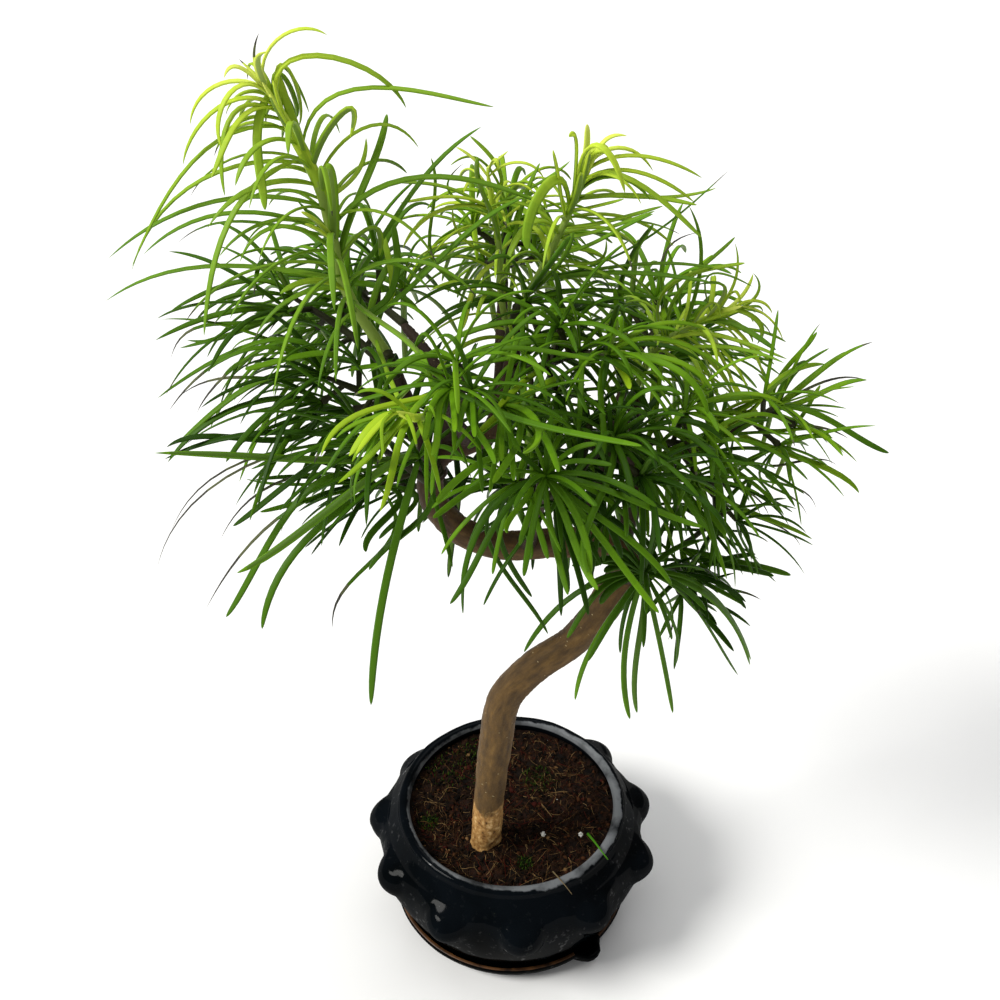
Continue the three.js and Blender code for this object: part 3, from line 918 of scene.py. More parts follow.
@dataclass
class Saucer:
    """The shallow dish, with one lump of run glaze on its edge."""

    foot_radius: float = 50.0
    rim_radius: float = 58.8
    height: float = 10.2
    wall: float = 2.6
    floor: float = 3.2
    lump_radius: float = 6.0
    lump_azimuth: float = -51.0
    lump_height: float = 7.0
    wave: float = 0.35
    wavy_band: float = 6.0
    lump_band: float = 2.0
    clay_band: float = 0.42
    segments: int = 160

    def profile(self) -> list[tuple[float, float]]:
        """Works out the section.

        Returns:
            Its radii and heights, from under the middle round the rim to its floor.
        """
        rim, top = self.rim_radius, self.height
        return [
            (0, 0),
            (self.foot_radius - 4, 0),
            (self.foot_radius, 0.2),
            (rim - 4.6, 2.2),
            (rim - 1.6, 5.0),
            (rim - 0.2, top - 2.2),
            (rim, top - 1.2),
            (rim - 0.5, top - 0.3),
            (rim - 1.4, top),
            (rim - 2.3, top - 0.3),
            (rim - self.wall, top - 1.1),
            (rim - self.wall - 1.4, 6.0),
            (self.foot_radius + 2, self.floor + 0.4),
            (self.foot_radius - 4, self.floor),
            (0, self.floor),
        ]

    def from_lump(self, place: Vector) -> float:
        """Returns the turn from the lump to a place, at most half a turn either way."""
        turn = math.atan2(place.y, place.x) - math.radians(self.lump_azimuth)
        return (turn + math.pi) % (2 * math.pi) - math.pi

    def build(self, glaze: bpy.types.Material, rim: bpy.types.Material) -> None:
        """Builds the saucer and its lump.

        Args:
            glaze: The dark glaze.
            rim: The brown edge.
        """
        shape = turned(self.profile(), self.segments, smooth_steps=3)
        for vert in shape.verts:
            radius = math.hypot(vert.co.x, vert.co.y)
            if radius > self.rim_radius - self.wavy_band:
                wave = noise.noise(vert.co * 0.06) * self.wave
                across = self.from_lump(vert.co) * self.rim_radius / self.lump_radius
                down = (vert.co.z - self.lump_height) / self.lump_radius
                swell = self.lump_radius * max(0.0, 1 - across**2 * 0.8 - down**2 * 0.5) ** 0.6
                on_rim = radius > self.rim_radius - self.lump_band
                grown = 1 + (wave * 0.5 + (swell if on_rim else 0)) / radius
                vert.co.x *= grown
                vert.co.y *= grown
        for face in shape.faces:
            centre = face.calc_center_median()
            radius = math.hypot(centre.x, centre.y)
            edge = centre.z > self.height - self.clay_band and radius > self.rim_radius - self.wall + 0.7
            clear = abs(self.from_lump(centre)) * radius > self.lump_radius * 1.4
            face.material_index = 1 if edge and clear else 0
        publish(mesh_from("saucer_glazed", shape, [glaze, rim]), ["saucer"])


@dataclass
class Pot:
    """The turned bowl with a rolled lip and one ring of studs round its belly."""

    foot: float = 3.5
    foot_radius: float = 46.0
    belly_radius: float = 63.5
    neck_radius: float = 55.0
    mouth_radius: float = 49.5
    wall: float = 5.0
    lip_radius: float = 2.8
    lip_height: float = 61.8
    stud_count: int = 11
    stud_azimuth: float = -86.0
    stud_height: float = 45.0
    stud_across: float = 10.4
    stud_proud: float = 8.2
    stud_below: float = 0.92
    stud_above: float = 1.06
    stud_wander: float = 0.7
    stud_uneven: float = 0.08
    stud_skirt: float = 1.25
    stud_worn: float = 0.45
    stud_worn_azimuth: float = 125.0
    wave: float = 0.35
    ripple: float = 0.12
    foot_slope: tuple[float, float] = (14, 24)
    segments: int = 352
    outline: list[tuple[float, float]] = field(default_factory=list)

    def __post_init__(self) -> None:
        """Works the section out from the driving sizes."""
        belly, foot = self.belly_radius, self.foot
        lip_centre = self.mouth_radius + self.lip_radius
        arc = [math.pi * index / 8 for index in range(7)]
        ring = self.lip_radius
        lip = [(lip_centre + ring * math.cos(a), self.lip_height + ring * math.sin(a)) for a in arc]
        lip += [(self.mouth_radius + 0.3, self.lip_height + 0.9), (self.mouth_radius, self.lip_height - 0.2)]
        self.outline = [
            (0, foot),
            (self.foot_radius - 3, foot),
            (self.foot_radius, foot + 0.3),
            (self.foot_radius + 1.2, foot + 1.6),
            (belly - 10.2, 10.6),
            (belly - 4.9, 17.5),
            (belly - 1.6, 26),
            (belly - 0.2, 34),
            (belly, 41),
            (belly - 0.6, 47),
            (belly - 2.9, 53),
            (self.neck_radius + 2.6, 57.6),
            (self.neck_radius + 0.9, 60.2),
            *lip,
            (self.mouth_radius + 0.4, 59),
            (self.mouth_radius + 4, 53),
            (belly - self.wall, 42),
            (belly - self.wall - 3, 29),
            (belly - self.wall - 7.4, 20),
            (self.foot_radius, foot + self.wall + 3),
            (self.foot_radius - 8, foot + self.wall),
            (0, foot + self.wall),
        ]

    def studded(self, radius: float, azimuth: float, height: float) -> float:
        """Works out how far the studs push the wall out.

        Args:
            radius: The plain wall's radius there.
            azimuth: The direction from the axis, in radians.
            height: The height above the table.

        Returns:
            The push in millimetres.
        """
        pitch = 2 * math.pi / self.stud_count
        first = math.radians(self.stud_azimuth)
        index = round((azimuth - first) / pitch)
        off = (azimuth - first - index * pitch) * radius
        drop = height - self.stud_height
        off += self.stud_wander * math.sin(index * 2.3)
        drop *= self.stud_below if drop < 0 else self.stud_above
        reach = math.hypot(off, drop) / self.stud_across
        if reach > 3:
            return 0.0
        dome = (1 - min(reach, 1.0) ** 2) ** 0.9
        skirt = math.exp(-((reach / self.stud_skirt) ** 2))
        worn = 1 - self.stud_worn * max(0.0, math.cos(azimuth - math.radians(self.stud_worn_azimuth))) ** 2
        size = 1 + self.stud_uneven * math.sin(index * 4.1)
        return self.stud_proud * worn * (0.55 * dome + 0.45 * skirt) * size

    def build(self, glaze: bpy.types.Material) -> None:
        """Builds the pot.

        Args:
            glaze: The dark glaze.
        """
        shape = turned(self.outline, self.segments, smooth_steps=5)
        slope_in, slope_top = self.foot_slope
        for vert in shape.verts:
            place = vert.co
            radius = math.hypot(place.x, place.y)
            wave = self.wave * noise.noise(place * 0.045) + self.ripple * noise.noise(place * 0.16)
            push = wave if radius > self.foot_radius else 0.0
            slope = slope_in * max(0.0, (slope_top - place.z) / slope_top)
            outside = radius > self.belly_radius - self.wall * 0.55 - slope
            if outside and self.foot + 6 < place.z < self.lip_height - 1.5:
                push += self.studded(radius, math.atan2(place.y, place.x), place.z)
            if place.z > self.lip_height - 3:
                place.z += self.wave * noise.noise(place * 0.05)
            if radius > 1:
                place.x *= 1 + push / radius
                place.y *= 1 + push / radius
        publish(mesh_from("pot_glazed", shape, [glaze]), ["pot"])


# The soil


@dataclass
class Soil:
    """The damp mix that fills the pot, with crumbs, fibres, moss and grit on it."""

    height: float = 58.0
    edge_rise: float = 0.6
    radius: float = 50.3
    depth: float = 9.0
    rings: int = 60
    segments: int = 200
    mound: tuple[float, float] = (-8, -26)
    mound_height: float = 4.0
    crumbs: int = 2600
    crumb_sizes: tuple[float, float] = (0.35, 1.5)
    fibres: int = 2600
    fibre_lengths: tuple[float, float] = (3.0, 15.0)
    fibre_radii: tuple[float, float] = (0.05, 0.17)
    moss_blades: int = 900
    fallen: tuple[tuple[str, str], ...] = (("fallen_needle", "3f7413"), ("straw", "6b5d42"))
    fallen_radii: tuple[float, ...] = (0.75, 0.4)
    fallen_runs: tuple[tuple[Triple, ...], ...] = (
        ((36.3, -18.7, 60.3), (38.6, -26, 64.2), (41.3, -32.4, 65.8), (44.3, -36.4, 64.4)),
        ((18.9, -40.2, 60.6), (21.3, -46.8, 64.6), (24.2, -51.9, 65.6), (26.8, -54.5, 63.6)),
    )
    grains: tuple[tuple[float, float], ...] = ((15, -18.3), (33, -17.7))
    moss: tuple[tuple[float, float, float], ...] = (
        (-30, 22, 14),
        (-18, 33, 10),
        (14, 17, 9),
        (-40, -10, 5),
        (6, -34, 4),
    )

    def level(self, x: float, y: float) -> float:
        """Works out the height of the uneven top.

        Args:
            x: The place to the right.
            y: The place away from the front.

        Returns:
            The height above the table.
        """
        reach = min(math.hypot(x, y) / self.radius, 1.0)
        lumps = 1.5 * noise.noise(Vector((x, y, 3.0)) * 0.07) + 0.8 * noise.noise(Vector((x, y, 9.0)) * 0.22)
        away = (x - self.mound[0]) ** 2 + (y - self.mound[1]) ** 2
        mound = self.mound_height * math.exp(-away / 130)
        return self.height + self.edge_rise * reach**4 + lumps * (1 - 0.4 * reach) + mound - 0.2

    def build(self, finish: bpy.types.Material) -> None:
        """Builds the bed of soil and all that lies on it.

        Args:
            finish: The soil's own material.
        """
        base = self.height - self.depth
        top = [(self.radius * index / self.rings, self.height) for index in range(self.rings + 1)]
        shape = turned([*top, (self.radius + 0.4, base), (0, base)], self.segments)
        for vert in shape.verts:
            if vert.co.z > self.height - 1:
                vert.co.z = self.level(vert.co.x, vert.co.y) + 0.5 * noise.noise(vert.co * 0.6)
        publish(mesh_from("soil_bed", shape, [finish]), ["soil"])
        self.scatter_crumbs()
        self.scatter_fibres()
        self.grow_moss()
        self.drop_needles()

    @staticmethod
    def strew(
        name: str,
        lines: Array,
        radii: Array,
        sides: int,
        finishes: Sequence[bpy.types.Material],
        tones: Sequence[int],
    ) -> None:
        """Builds many thin tubes as one piece of the soil.

        Args:
            name: The piece's name.
            lines: Their centre lines, as tubes by rings by 3.
            radii: Their radii, as tubes by rings.
            sides: How many sides each has.
            finishes: The materials.
            tones: Each tube's material.
        """
        places, faces = tubes(lines, radii, sides)
        indices = np.repeat(tones, len(faces) // len(lines))
        publish(mesh_of(name, places, faces, finishes, indices))

    def drop_needles(self) -> None:
        """Lays a fallen green needle and a straw across the lip, and two grains of white grit."""
        finishes = [TintFinish(name, colour(code), 0.6).material() for name, code in self.fallen]
        lines = np.array([Curve(run).spaced(16) for run in self.fallen_runs])
        radii = np.outer(self.fallen_radii, np.linspace(1, 0.4, lines.shape[1]))
        self.strew("soil_fallen", lines, radii, 6, finishes, [0, 1])
        grains = bmesh.new()
        for x, y in self.grains:
            made = bmesh.ops.create_icosphere(grains, subdivisions=3, radius=1.0)["verts"]
            for vert in made:
                vert.co *= 1 + 1.1 * noise.noise(vert.co * 1.3 + Vector((x, y, 0)))
                vert.co += Vector((x, y, self.level(x, y) + 0.9))
        white = TintFinish("white_grit", colour("e9e7e2"), 0.8).material()
        publish(mesh_from("soil_grit", grains, [white]))

    def spot(self, draw: Seeded, inset: float) -> tuple[float, float]:
        """Picks a place on the soil, all of it alike.

        Args:
            draw: The draws.
            inset: How far it keeps from the edge.

        Returns:
            The place, to the right and away from the front.
        """
        reach = (self.radius - inset) * math.sqrt(draw())
        turn = 2 * math.pi * draw()
        return reach * math.cos(turn), reach * math.sin(turn)

    def scatter_crumbs(self) -> None:
        """Lays crumbs of peat, bark chips and a few white grains of grit."""
        draw = Seeded("crumbs")
        ball = bmesh.new()
        bmesh.ops.create_icosphere(ball, subdivisions=1, radius=1.0)
        shape = np.array([vert.co[:] for vert in ball.verts])
        faces = np.array([[vert.index for vert in face.verts] for face in ball.faces])
        ball.free()
        codes = ("070402", "150b05", "27150a", "3f2513", "33100a", "6d5233", "e4e2dc")
        chances = (0.3, 0.6, 0.82, 0.92, 0.975, 0.997, 2.0)
        finishes = plain_finishes("crumb", codes, 0.85)
        grit = len(codes) - 1
        places, corners, tones = [], [], []
        for index in range(self.crumbs):
            x, y = self.spot(draw, 0.8)
            pick = draw()
            tone = next(rank for rank, chance in enumerate(chances) if pick < chance)
            size = lerp(*self.crumb_sizes, draw() ** 2.2) * (0.8 if tone == grit else 1.0)
            squash = np.array([draw.between(0.6, 1.4), draw.between(0.5, 1.1), draw.between(0.4, 0.9)])
            turn = draw() * math.pi
            cosine, sine = math.cos(turn), math.sin(turn)
            spin = np.array([[cosine, -sine, 0], [sine, cosine, 0], [0, 0, 1]])
            jitter = 1 + 0.35 * (np.array([draw() for _ in shape])[:, None] - 0.5)
            centre = np.array([x, y, self.level(x, y) + size * 0.2])
            places.append((shape * jitter * squash * size) @ spin.T + centre)
            corners.append(faces + index * len(shape))
            tones += [tone] * len(faces)
        mesh = mesh_of("soil_crumbs", np.vstack(places), np.vstack(corners), finishes, np.array(tones))
        publish(mesh)

    def scatter_fibres(self) -> None:
        """Lays thin coir fibres in loose arcs, which turn back before the pot's wall."""
        draw = Seeded("fibres")
        steps = 7
        codes = ("1c0f07", "33200f", "5a4024", "8a6f48", "47150b")
        finishes = plain_finishes("fibre", codes, 0.7)
        lines, radii, tones = [], [], []
        for _ in range(self.fibres):
            x, y = self.spot(draw, 3.0)
            turn, bend = draw() * 2 * math.pi, draw.between(-0.2, 0.2)
            length = lerp(*self.fibre_lengths, draw() ** 2)
            lift = lerp(0.1, 1.8, draw() ** 3)
            line = []
            for step in range(steps):
                share = step / (steps - 1)
                rise = 0.25 + lift * math.sin(math.pi * share) + 0.3 * draw()
                if math.hypot(x, y) > self.radius - 1.6:
                    x, y = x * 0.97, y * 0.97
                line.append((x, y, self.level(x, y) + rise))
                turn += bend + draw.between(-0.18, 0.18)
                x += math.cos(turn) * length / steps
                y += math.sin(turn) * length / steps
            lines.append(line)
            thick = lerp(*self.fibre_radii, draw() ** 2)
            radii.append([thick * (1 - 0.5 * step / steps) for step in range(steps)])
            tones.append(int(draw() * len(codes)) if draw() > 0.5 else int(draw() * 2))
        self.strew("soil_fibres", np.array(lines), np.array(radii), 4, finishes, tones)

    def grow_moss(self) -> None:
        """Grows small tufts of moss in a few patches."""
        draw = Seeded("moss")
        codes = ("0d1906", "162708", "223a0b", "3d5512")
        finishes = plain_finishes("moss", codes, 0.6)
        lines, radii, tones = [], [], []
        for index in range(self.moss_blades):
            x0, y0, spread = self.moss[index % len(self.moss)]
            reach, turn = spread * draw() ** 0.7, 2 * math.pi * draw()
            x, y = x0 + reach * math.cos(turn), y0 + reach * math.sin(turn)
            if math.hypot(x, y) > self.radius - 1.5:
                continue
            tall, lean = draw.between(0.8, 2.2), draw() * 2 * math.pi
            foot = np.array([x, y, self.level(x, y) - 0.2])
            tip = foot + [math.cos(lean) * tall * 0.5, math.sin(lean) * tall * 0.5, tall]
            lines.append([foot, lerp(foot, tip, 0.5) + [0, 0, 0.2], tip])
            radii.append([0.28, 0.22, 0.05])
            tones.append(int(draw() * len(codes)))
        self.strew("soil_moss", np.array(lines), np.array(radii), 4, finishes, tones)


# The trunk and the boughs

Run = tuple[tuple[float, float, float, float], ...]


class Limb:
    """One tapering limb."""

    def __init__(self, run: Run) -> None:
        """Lays out its centre line.

        Args:
            run: The places that it passes, with its radius at each.
        """
        self.curve = Curve(run)
        self.radii = [place[3] for place in run]

    def radius(self, share: float) -> float:
        """Returns the radius at a share of the length."""
        return self.curve.along_knots(self.radii, share)


TRUNK_RUNS: dict[str, Run] = {
    "trunk_lower": (
        (-12.2, -22, 57.5, 7.2),
        (-11.8, -22.5, 68, 6.9),
        (-10, -23, 98, 6.9),
        (-7.2, -23, 130, 7.4),
        (-3, -23, 156, 7.2),
        (9.5, -23, 174, 6.8),
        (25.5, -23, 189, 6.5),
        (38, -20, 207, 7.1),
        (45, -15, 221, 7.2),
    ),
    "trunk_middle": (
        (40, -12, 229, 6.6),
        (18, -11, 229, 6.1),
        (-5, -11, 228, 6),
        (-21, -12, 236, 5.8),
        (-30, -13, 249, 5.4),
    ),
    "trunk_upper": (
        (-32, -13, 260, 5.1),
        (-28, -11, 270, 4.6),
        (-10, -6, 277, 3.7),
        (-4, -4, 294, 2.9),
        (0, -2, 312, 2.5),
        (2, 0, 327, 2.2),
    ),
}

# Each bough starts inside the limb that carries it.
BOUGHS: dict[str, Run] = {
    "bough_left": ((-31, -13, 263, 3.9), (-37, -15, 290, 2.9), (-45, -18, 317, 2.3)),
    "bough_left_front": ((-18, -8, 275, 3), (-22, -34, 301, 2.4), (-24, -60, 324, 2)),
    "bough_front": ((5, -11, 228.5, 3.4), (8, -34, 262, 2.6), (9, -58, 290, 2)),
    "bough_right": ((41, -12, 229, 4), (47, -8, 250, 3.2), (45, -2, 270, 2.8), (46, 6, 290, 2.3)),
    "bough_right_outer": ((46.5, -5, 259, 2.7), (68, -3, 269, 2.2), (86, 0, 276, 1.8)),
    "bough_low": ((42, -17, 216, 3.2), (48, -32, 231, 2.4), (47, -44, 240, 2)),
    "bough_back_left": ((-24, -10, 273, 3), (-30, 18, 291, 2.4), (-44, 36, 302, 1.9)),
    "bough_back": ((-5, -4, 290, 2.7), (-5, 24, 306, 2.2), (-4, 46, 314, 1.8)),
    "bough_back_right": ((26, -11, 229, 3.2), (38, 18, 254, 2.5), (47, 42, 278, 1.9)),
}


# Broken stubs: the pixels of the foot and of the end, the depth, and the radius.
STUBS = (
    ((396, 376), (388, 353), -22, 1.7),
    ((437, 474), (428, 452), -20, 2.6),
    ((412, 492), (402, 487), -22, 1.5),
    ((507, 348), (521, 301), -8, 2.1),
)


@dataclass
class Woodwork:
    """The bark-clad trunk and boughs."""

    trunk_sides: int = 56
    bough_sides: int = 22
    step: float = 1.0
    flare_height: float = 14.0
    collar: float = 5.0
    wrinkle: float = 0.34
    foot_rings: tuple[tuple[float, float, float], ...] = ((22, 2.2, 1.0), (17, 1.6, 0.7))

    def limbs(self) -> dict[str, Limb]:
        """Returns the trunk as one limb, and the boughs."""
        trunk = tuple(place for part in TRUNK_RUNS.values() for place in part)
        return {name: Limb(run) for name, run in {"trunk": trunk, **BOUGHS}.items()}

    def build(self, trunk_bark: bpy.types.Material, bough_bark: bpy.types.Material) -> None:
        """Builds the bark of the whole tree.

        Args:
            trunk_bark: The trunk's finish.
            bough_bark: The boughs' finish.
        """
        limbs = self.limbs()
        trunk = self.clad(limbs["trunk"], self.trunk_sides, True)
        publish(mesh_from("trunk_bark", trunk, [trunk_bark]), list(TRUNK_RUNS))
        for name in BOUGHS:
            shape = self.clad(limbs[name], self.bough_sides, False)
            publish(mesh_from(name + "_bark", shape, [bough_bark]), [name])

    def clad(self, limb: Limb, sides: int, is_trunk: bool) -> bmesh.types.BMesh:
        """Builds one limb with its bark's relief.

        Args:
            limb: The limb.
            sides: How many sides it has.
            is_trunk: Whether it is the trunk, which has a flare and wrinkled bends.

        Returns:
            The limb, in millimetres.
        """
        curve = limb.curve
        count = int(curve.length / self.step)
        line = curve.spaced(count)
        tangents, side, ridge = ring_frames(line)
        if is_trunk:
            tangents[0] = UP
            side[0], ridge[0] = np.array([1.0, 0, 0]), np.array([0, 1.0, 0])
            for index in range(1, count + 1):
                last = side[index - 1]
                side[index] = unit(last - tangents[index] * np.dot(last, tangents[index]))
                ridge[index] = np.cross(tangents[index], side[index])
        bends = np.linalg.norm(np.gradient(tangents, axis=0), axis=1) / self.step
        inward = unit(np.gradient(tangents, axis=0))

        def where(along: float, around: float) -> Array:
            """Places one vertex of the bark.

            Args:
                along: Its share of the limb's length.
                around: Its share of the turn round the limb.

            Returns:
                The place, in millimetres.
            """
            index = min(round(along * count), count)
            radius = limb.radius(along)
            turn = 2 * math.pi * around
            out = side[index] * math.cos(turn) + ridge[index] * math.sin(turn)
            place = line[index] + out * radius
            spot = Vector(place)
            relief = 0.05 * radius * noise.noise(spot * 0.11) + 0.16 * noise.noise(spot * 0.45)
            relief += 0.1 * noise.noise(Vector((place[0] * 1.4, place[1] * 1.4, place[2] * 0.5)))
            gone = along * curve.length
            left = curve.length - gone
            relief -= radius * 0.5 * max(0.0, 1 - left / self.collar) ** 2
            if is_trunk:
                crease = max(0.0, float(np.dot(out, inward[index]))) * min(bends[index] * 26, 1.0)
                phase = gone * 2.2 + 2 * noise.noise(spot * 0.2)
                relief -= self.wrinkle * crease * (0.5 + 0.5 * math.sin(phase))
                low = max(0.0, 1 - gone / self.flare_height)
                lobes = math.cos(3 * turn + 0.6) + 0.6 * math.cos(5 * turn + 2)
                relief += low**1.5 * (0.4 * lobes + 0.8 * noise.noise(spot * 0.32))
                relief += 0.5 * max(0.0, 1 - gone / (2 * self.flare_height)) * noise.noise(spot * 0.55)
                rings = sum(
                    proud * math.exp(-(((gone - at) / wide) ** 2)) for at, wide, proud in self.foot_rings
                )
                relief += 0.3 * rings * (0.6 + noise.noise(spot * 0.5))
            else:
                relief += radius * 0.55 * math.exp(-gone / self.collar)
                relief += 0.18 * math.sin(gone * 1.5 + 1.5 * noise.noise(spot * 0.3)) ** 4
            return place + out * relief

        shape = tube_grid(count, sides, where)
        layer = shape.loops.layers.uv.active
        girth = 2 * math.pi * limb.radius(0.5)
        for face in shape.faces:
            for loop in face.loops:
                loop[layer].uv = (loop[layer].uv[0] * curve.length, loop[layer].uv[1] * girth)
        return shape


# The crown


class Habit(Enum):
    """How a mass is clad."""

    SHOOT = "needles along a green shoot"
    SPRAY = "rosettes on short brown spurs"


class Hue(Enum):
    """Which run of tints a mass takes."""

    DEEP = "lime to deep green"
    PALE = "yellow to mid green"


Pixel = tuple[float, float]


@dataclass(frozen=True)
class Reach:
    """A long needle that shows in the photo, by the pixels that it passes on its way to its tip."""

    path: tuple[Pixel, ...]
    depth: float
    width: float = 2.8
    blunt: float = 0.9
    tints: tuple[float, float] = (8, 9)
    dry: float = 1.0
    roll: float = 0.0


@dataclass(frozen=True)
class Spot:
    """A rosette that shows in the photo: its pixel, its depth, and how much fresher it is."""

    pixel: Pixel
    depth: float
    fresher: float = 0.0


@dataclass(frozen=True)
class Mass:
    """One mass of needles: its stem, which starts in the limb that carries it, and how it is clad."""

    stem: tuple[Triple, ...]
    habit: Habit
    count: int
    length: float
    tints: tuple[float, float] = (7, 10)
    width: float = 2.4
    blunt: float = 0.8
    sweep: Triple = (0, 0, 0)
    droop: float = 0.6
    spots: tuple[Spot, ...] = ()
    reaches: tuple[Reach, ...] = ()
    crowded: int = 14
    stout: float = 1.0
    hue: Hue = Hue.DEEP


LEADER = (
    Reach(((266, 84), (265, 56), (271, 45), (285, 34), (307, 28), (327, 35)), -12, 2.1, 0.3, (0, 3)),
    Reach(
        ((283, 110), (275, 80), (281, 62), (309, 54), (345, 60), (378, 78), (406, 108)),
        -9, blunt=0.5, tints=(2, 7),
    ),
    Reach(((266, 90), (261, 76), (257, 62), (259, 54), (266, 52)), -18, 2.5, 0.5, (0, 1)),
    Reach(((262, 88), (255, 66), (254, 52), (259, 33)), -6, 1.0, 0.1, (1, 2), dry=0.6),
    Reach(((264, 92), (256, 75), (243, 63), (239, 59)), -6, 1.4, 0.1, (0, 1), dry=0.85),
    Reach(((266, 94), (250, 74), (240, 67), (231, 66), (224, 78)), -14, 2.3, 0.4, (0, 1)),
    Reach(((268, 98), (248, 83), (235, 80), (222, 82), (203, 95), (190, 125)), -12, 2.3, 0.3, (0, 3)),
    Reach(
        ((270, 102), (252, 86), (242, 83), (233, 87), (226, 97), (221, 113), (223, 150)),
        -24, 2.2, 0.3, (1, 4),
    ),
    Reach(
        ((274, 108), (260, 99), (248, 97), (236, 99), (206, 116), (193, 137), (183, 165)),
        -18, 2.3, 0.3, (1, 5),
    ),
    Reach(
        ((279, 114), (258, 107), (248, 105), (236, 105), (224, 124), (224, 160), (225, 196)),
        -26, 2.2, 0.4, (3, 7),
    ),
    Reach(((276, 110), (251, 109), (240, 120), (231, 132), (225, 145), (211, 178)), -32, 2.3, 0.4, (2, 5)),
    Reach(((280, 104), (283, 63), (292, 73), (298, 90), (300, 107), (299, 126)), -4, 2.2, 0.4, (3, 5)),
    Reach(((281, 106), (280, 72), (286, 79), (294, 96), (297, 117)), 0, 2.6, 0.5, (5, 8)),
    Reach(((283, 110), (284, 66), (293, 75), (299, 92), (306, 100), (309, 113)), 4, 1.7, 0.3, (4, 6)),
    Reach(((284, 112), (281, 87), (289, 101), (297, 118)), 6, 2.0, 0.4),
    Reach(((296, 150), (288, 124), (278, 98), (273, 80)), -15, 3.0, 0.5, (4, 2)),
    Reach(((292, 142), (280, 114), (270, 94)), -20, blunt=0.5, tints=(4, 1)),
    Reach(((302, 152), (294, 122), (285, 98), (280, 76)), -7, 2.9, 0.5, (6, 4)),
    Reach(((298, 146), (284, 118), (274, 100), (262, 82)), -13, 2.6, 0.5, (3, 0)),
    Reach(((330, 238), (322, 226), (312, 217), (301, 212)), -30, 3.1, 0.4, (0.9, 1.9)),
    Reach(((331, 244), (322, 232), (312, 226), (305, 224)), -34, 2.6, 0.4, (1.9, 2.9)),
    Reach(((345, 292), (325, 281), (302, 282), (280, 294)), -32, 3.1, 0.4, (2.9, 6.9)),
    Reach(
        ((305, 152), (308, 121), (317, 105), (337, 93), (391, 88), (446, 97), (494, 107)),
        -9, 2.3, 0.5, (6, 7),
    ),
    Reach(
        ((321, 164), (328, 135), (339, 110), (350, 104), (358, 116), (350, 138)),
        -14, 2.9, 0.7, (7, 4), roll=0.9,
    ),
    Reach(((345, 266), (347, 228), (361, 190), (378, 152), (387, 114)), -4, 3.1, 0.95, (7.9, 7.9)),
    Reach(((356, 195), (359, 170), (366, 138)), 4, 1.8, 0.4, (3.9, 5.9)),
    Reach(((328, 247), (333, 200), (329, 163)), -22, 4.0, 0.95, (6.9, 6.9), roll=0.5),
    Reach(((268, 91), (261, 110), (258, 157), (265, 210)), -34, 2.9, 0.6, (5, 6)),
    Reach(((282, 130), (254, 127), (227, 135), (194, 157), (169, 195), (132, 266)), -20, 2.2, 0.3, (5, 7)),
    Reach(((309, 168), (254, 164), (213, 172), (183, 190), (159, 217), (132, 270)), -8, 2.3, 0.3, (5, 7)),
    Reach(
        ((325, 209), (282, 198), (227, 198), (194, 206), (158, 223), (109, 258)), -14, 2.4, 0.3, (6.9, 8.9)
    ),
    Reach(
        ((328, 234), (295, 220), (254, 212), (213, 214), (180, 228), (144, 254)), -24, 2.3, 0.3, (6.9, 8.9)
    ),
    Reach(((322, 239), (260, 222), (221, 224), (194, 228), (178, 243)), -6, 1.7, 0.1, (7.9, 8.9), dry=0.85),
    Reach(
        ((337, 278), (282, 268), (227, 267), (172, 271), (139, 280), (106, 301)), 0, 2.4, 0.3, (6.9, 8.9)
    ),
    Reach(((293, 162), (260, 182), (235, 206), (219, 247), (210, 286), (204, 336)), -44, 2.4, 0.4, (5, 8)),
    Reach(
        ((345, 228), (370, 194), (405, 177), (446, 175), (480, 184), (538, 202)), 0, 2.9, 0.7, (7.9, 7.9)
    ),
    Reach(((350, 290), (375, 250), (418, 184), (454, 146), (481, 127)), 10, 2.2, 0.5, (8.9, 8.9)),
    Reach(
        ((362, 320), (400, 302), (420, 273), (461, 237), (492, 216), (522, 198)), -6, 2.6, 0.7, (8.9, 8.9)
    ),
    Reach(((334, 304), (375, 319), (410, 343), (432, 392)), -56, 3.1, 0.5, (7.9, 6.9), roll=3.5),
    Reach(((371, 341), (387, 372), (406, 413)), -66, 1.8, 0.4, (6.9, 4.9)),
    Reach(((346, 289), (330, 250), (300, 225), (262, 232), (240, 262)), -32, 2.3, 0.4, (5.9, 7.9)),
    Reach(
        ((345, 262), (354, 243), (364, 228), (375, 223), (380, 237), (379, 256)),
        -12, 2.6, 0.7, (6.9, 5.9), roll=0.8,
    ),
    Reach(((358, 316), (394, 287), (397, 258), (393, 222)), 2, 2.5, tints=(8.9, 8.9)),
    Reach(((358, 314), (392, 296), (391, 272), (384, 234)), 8, 2.4, 0.6, (3.9, 5.9)),
)

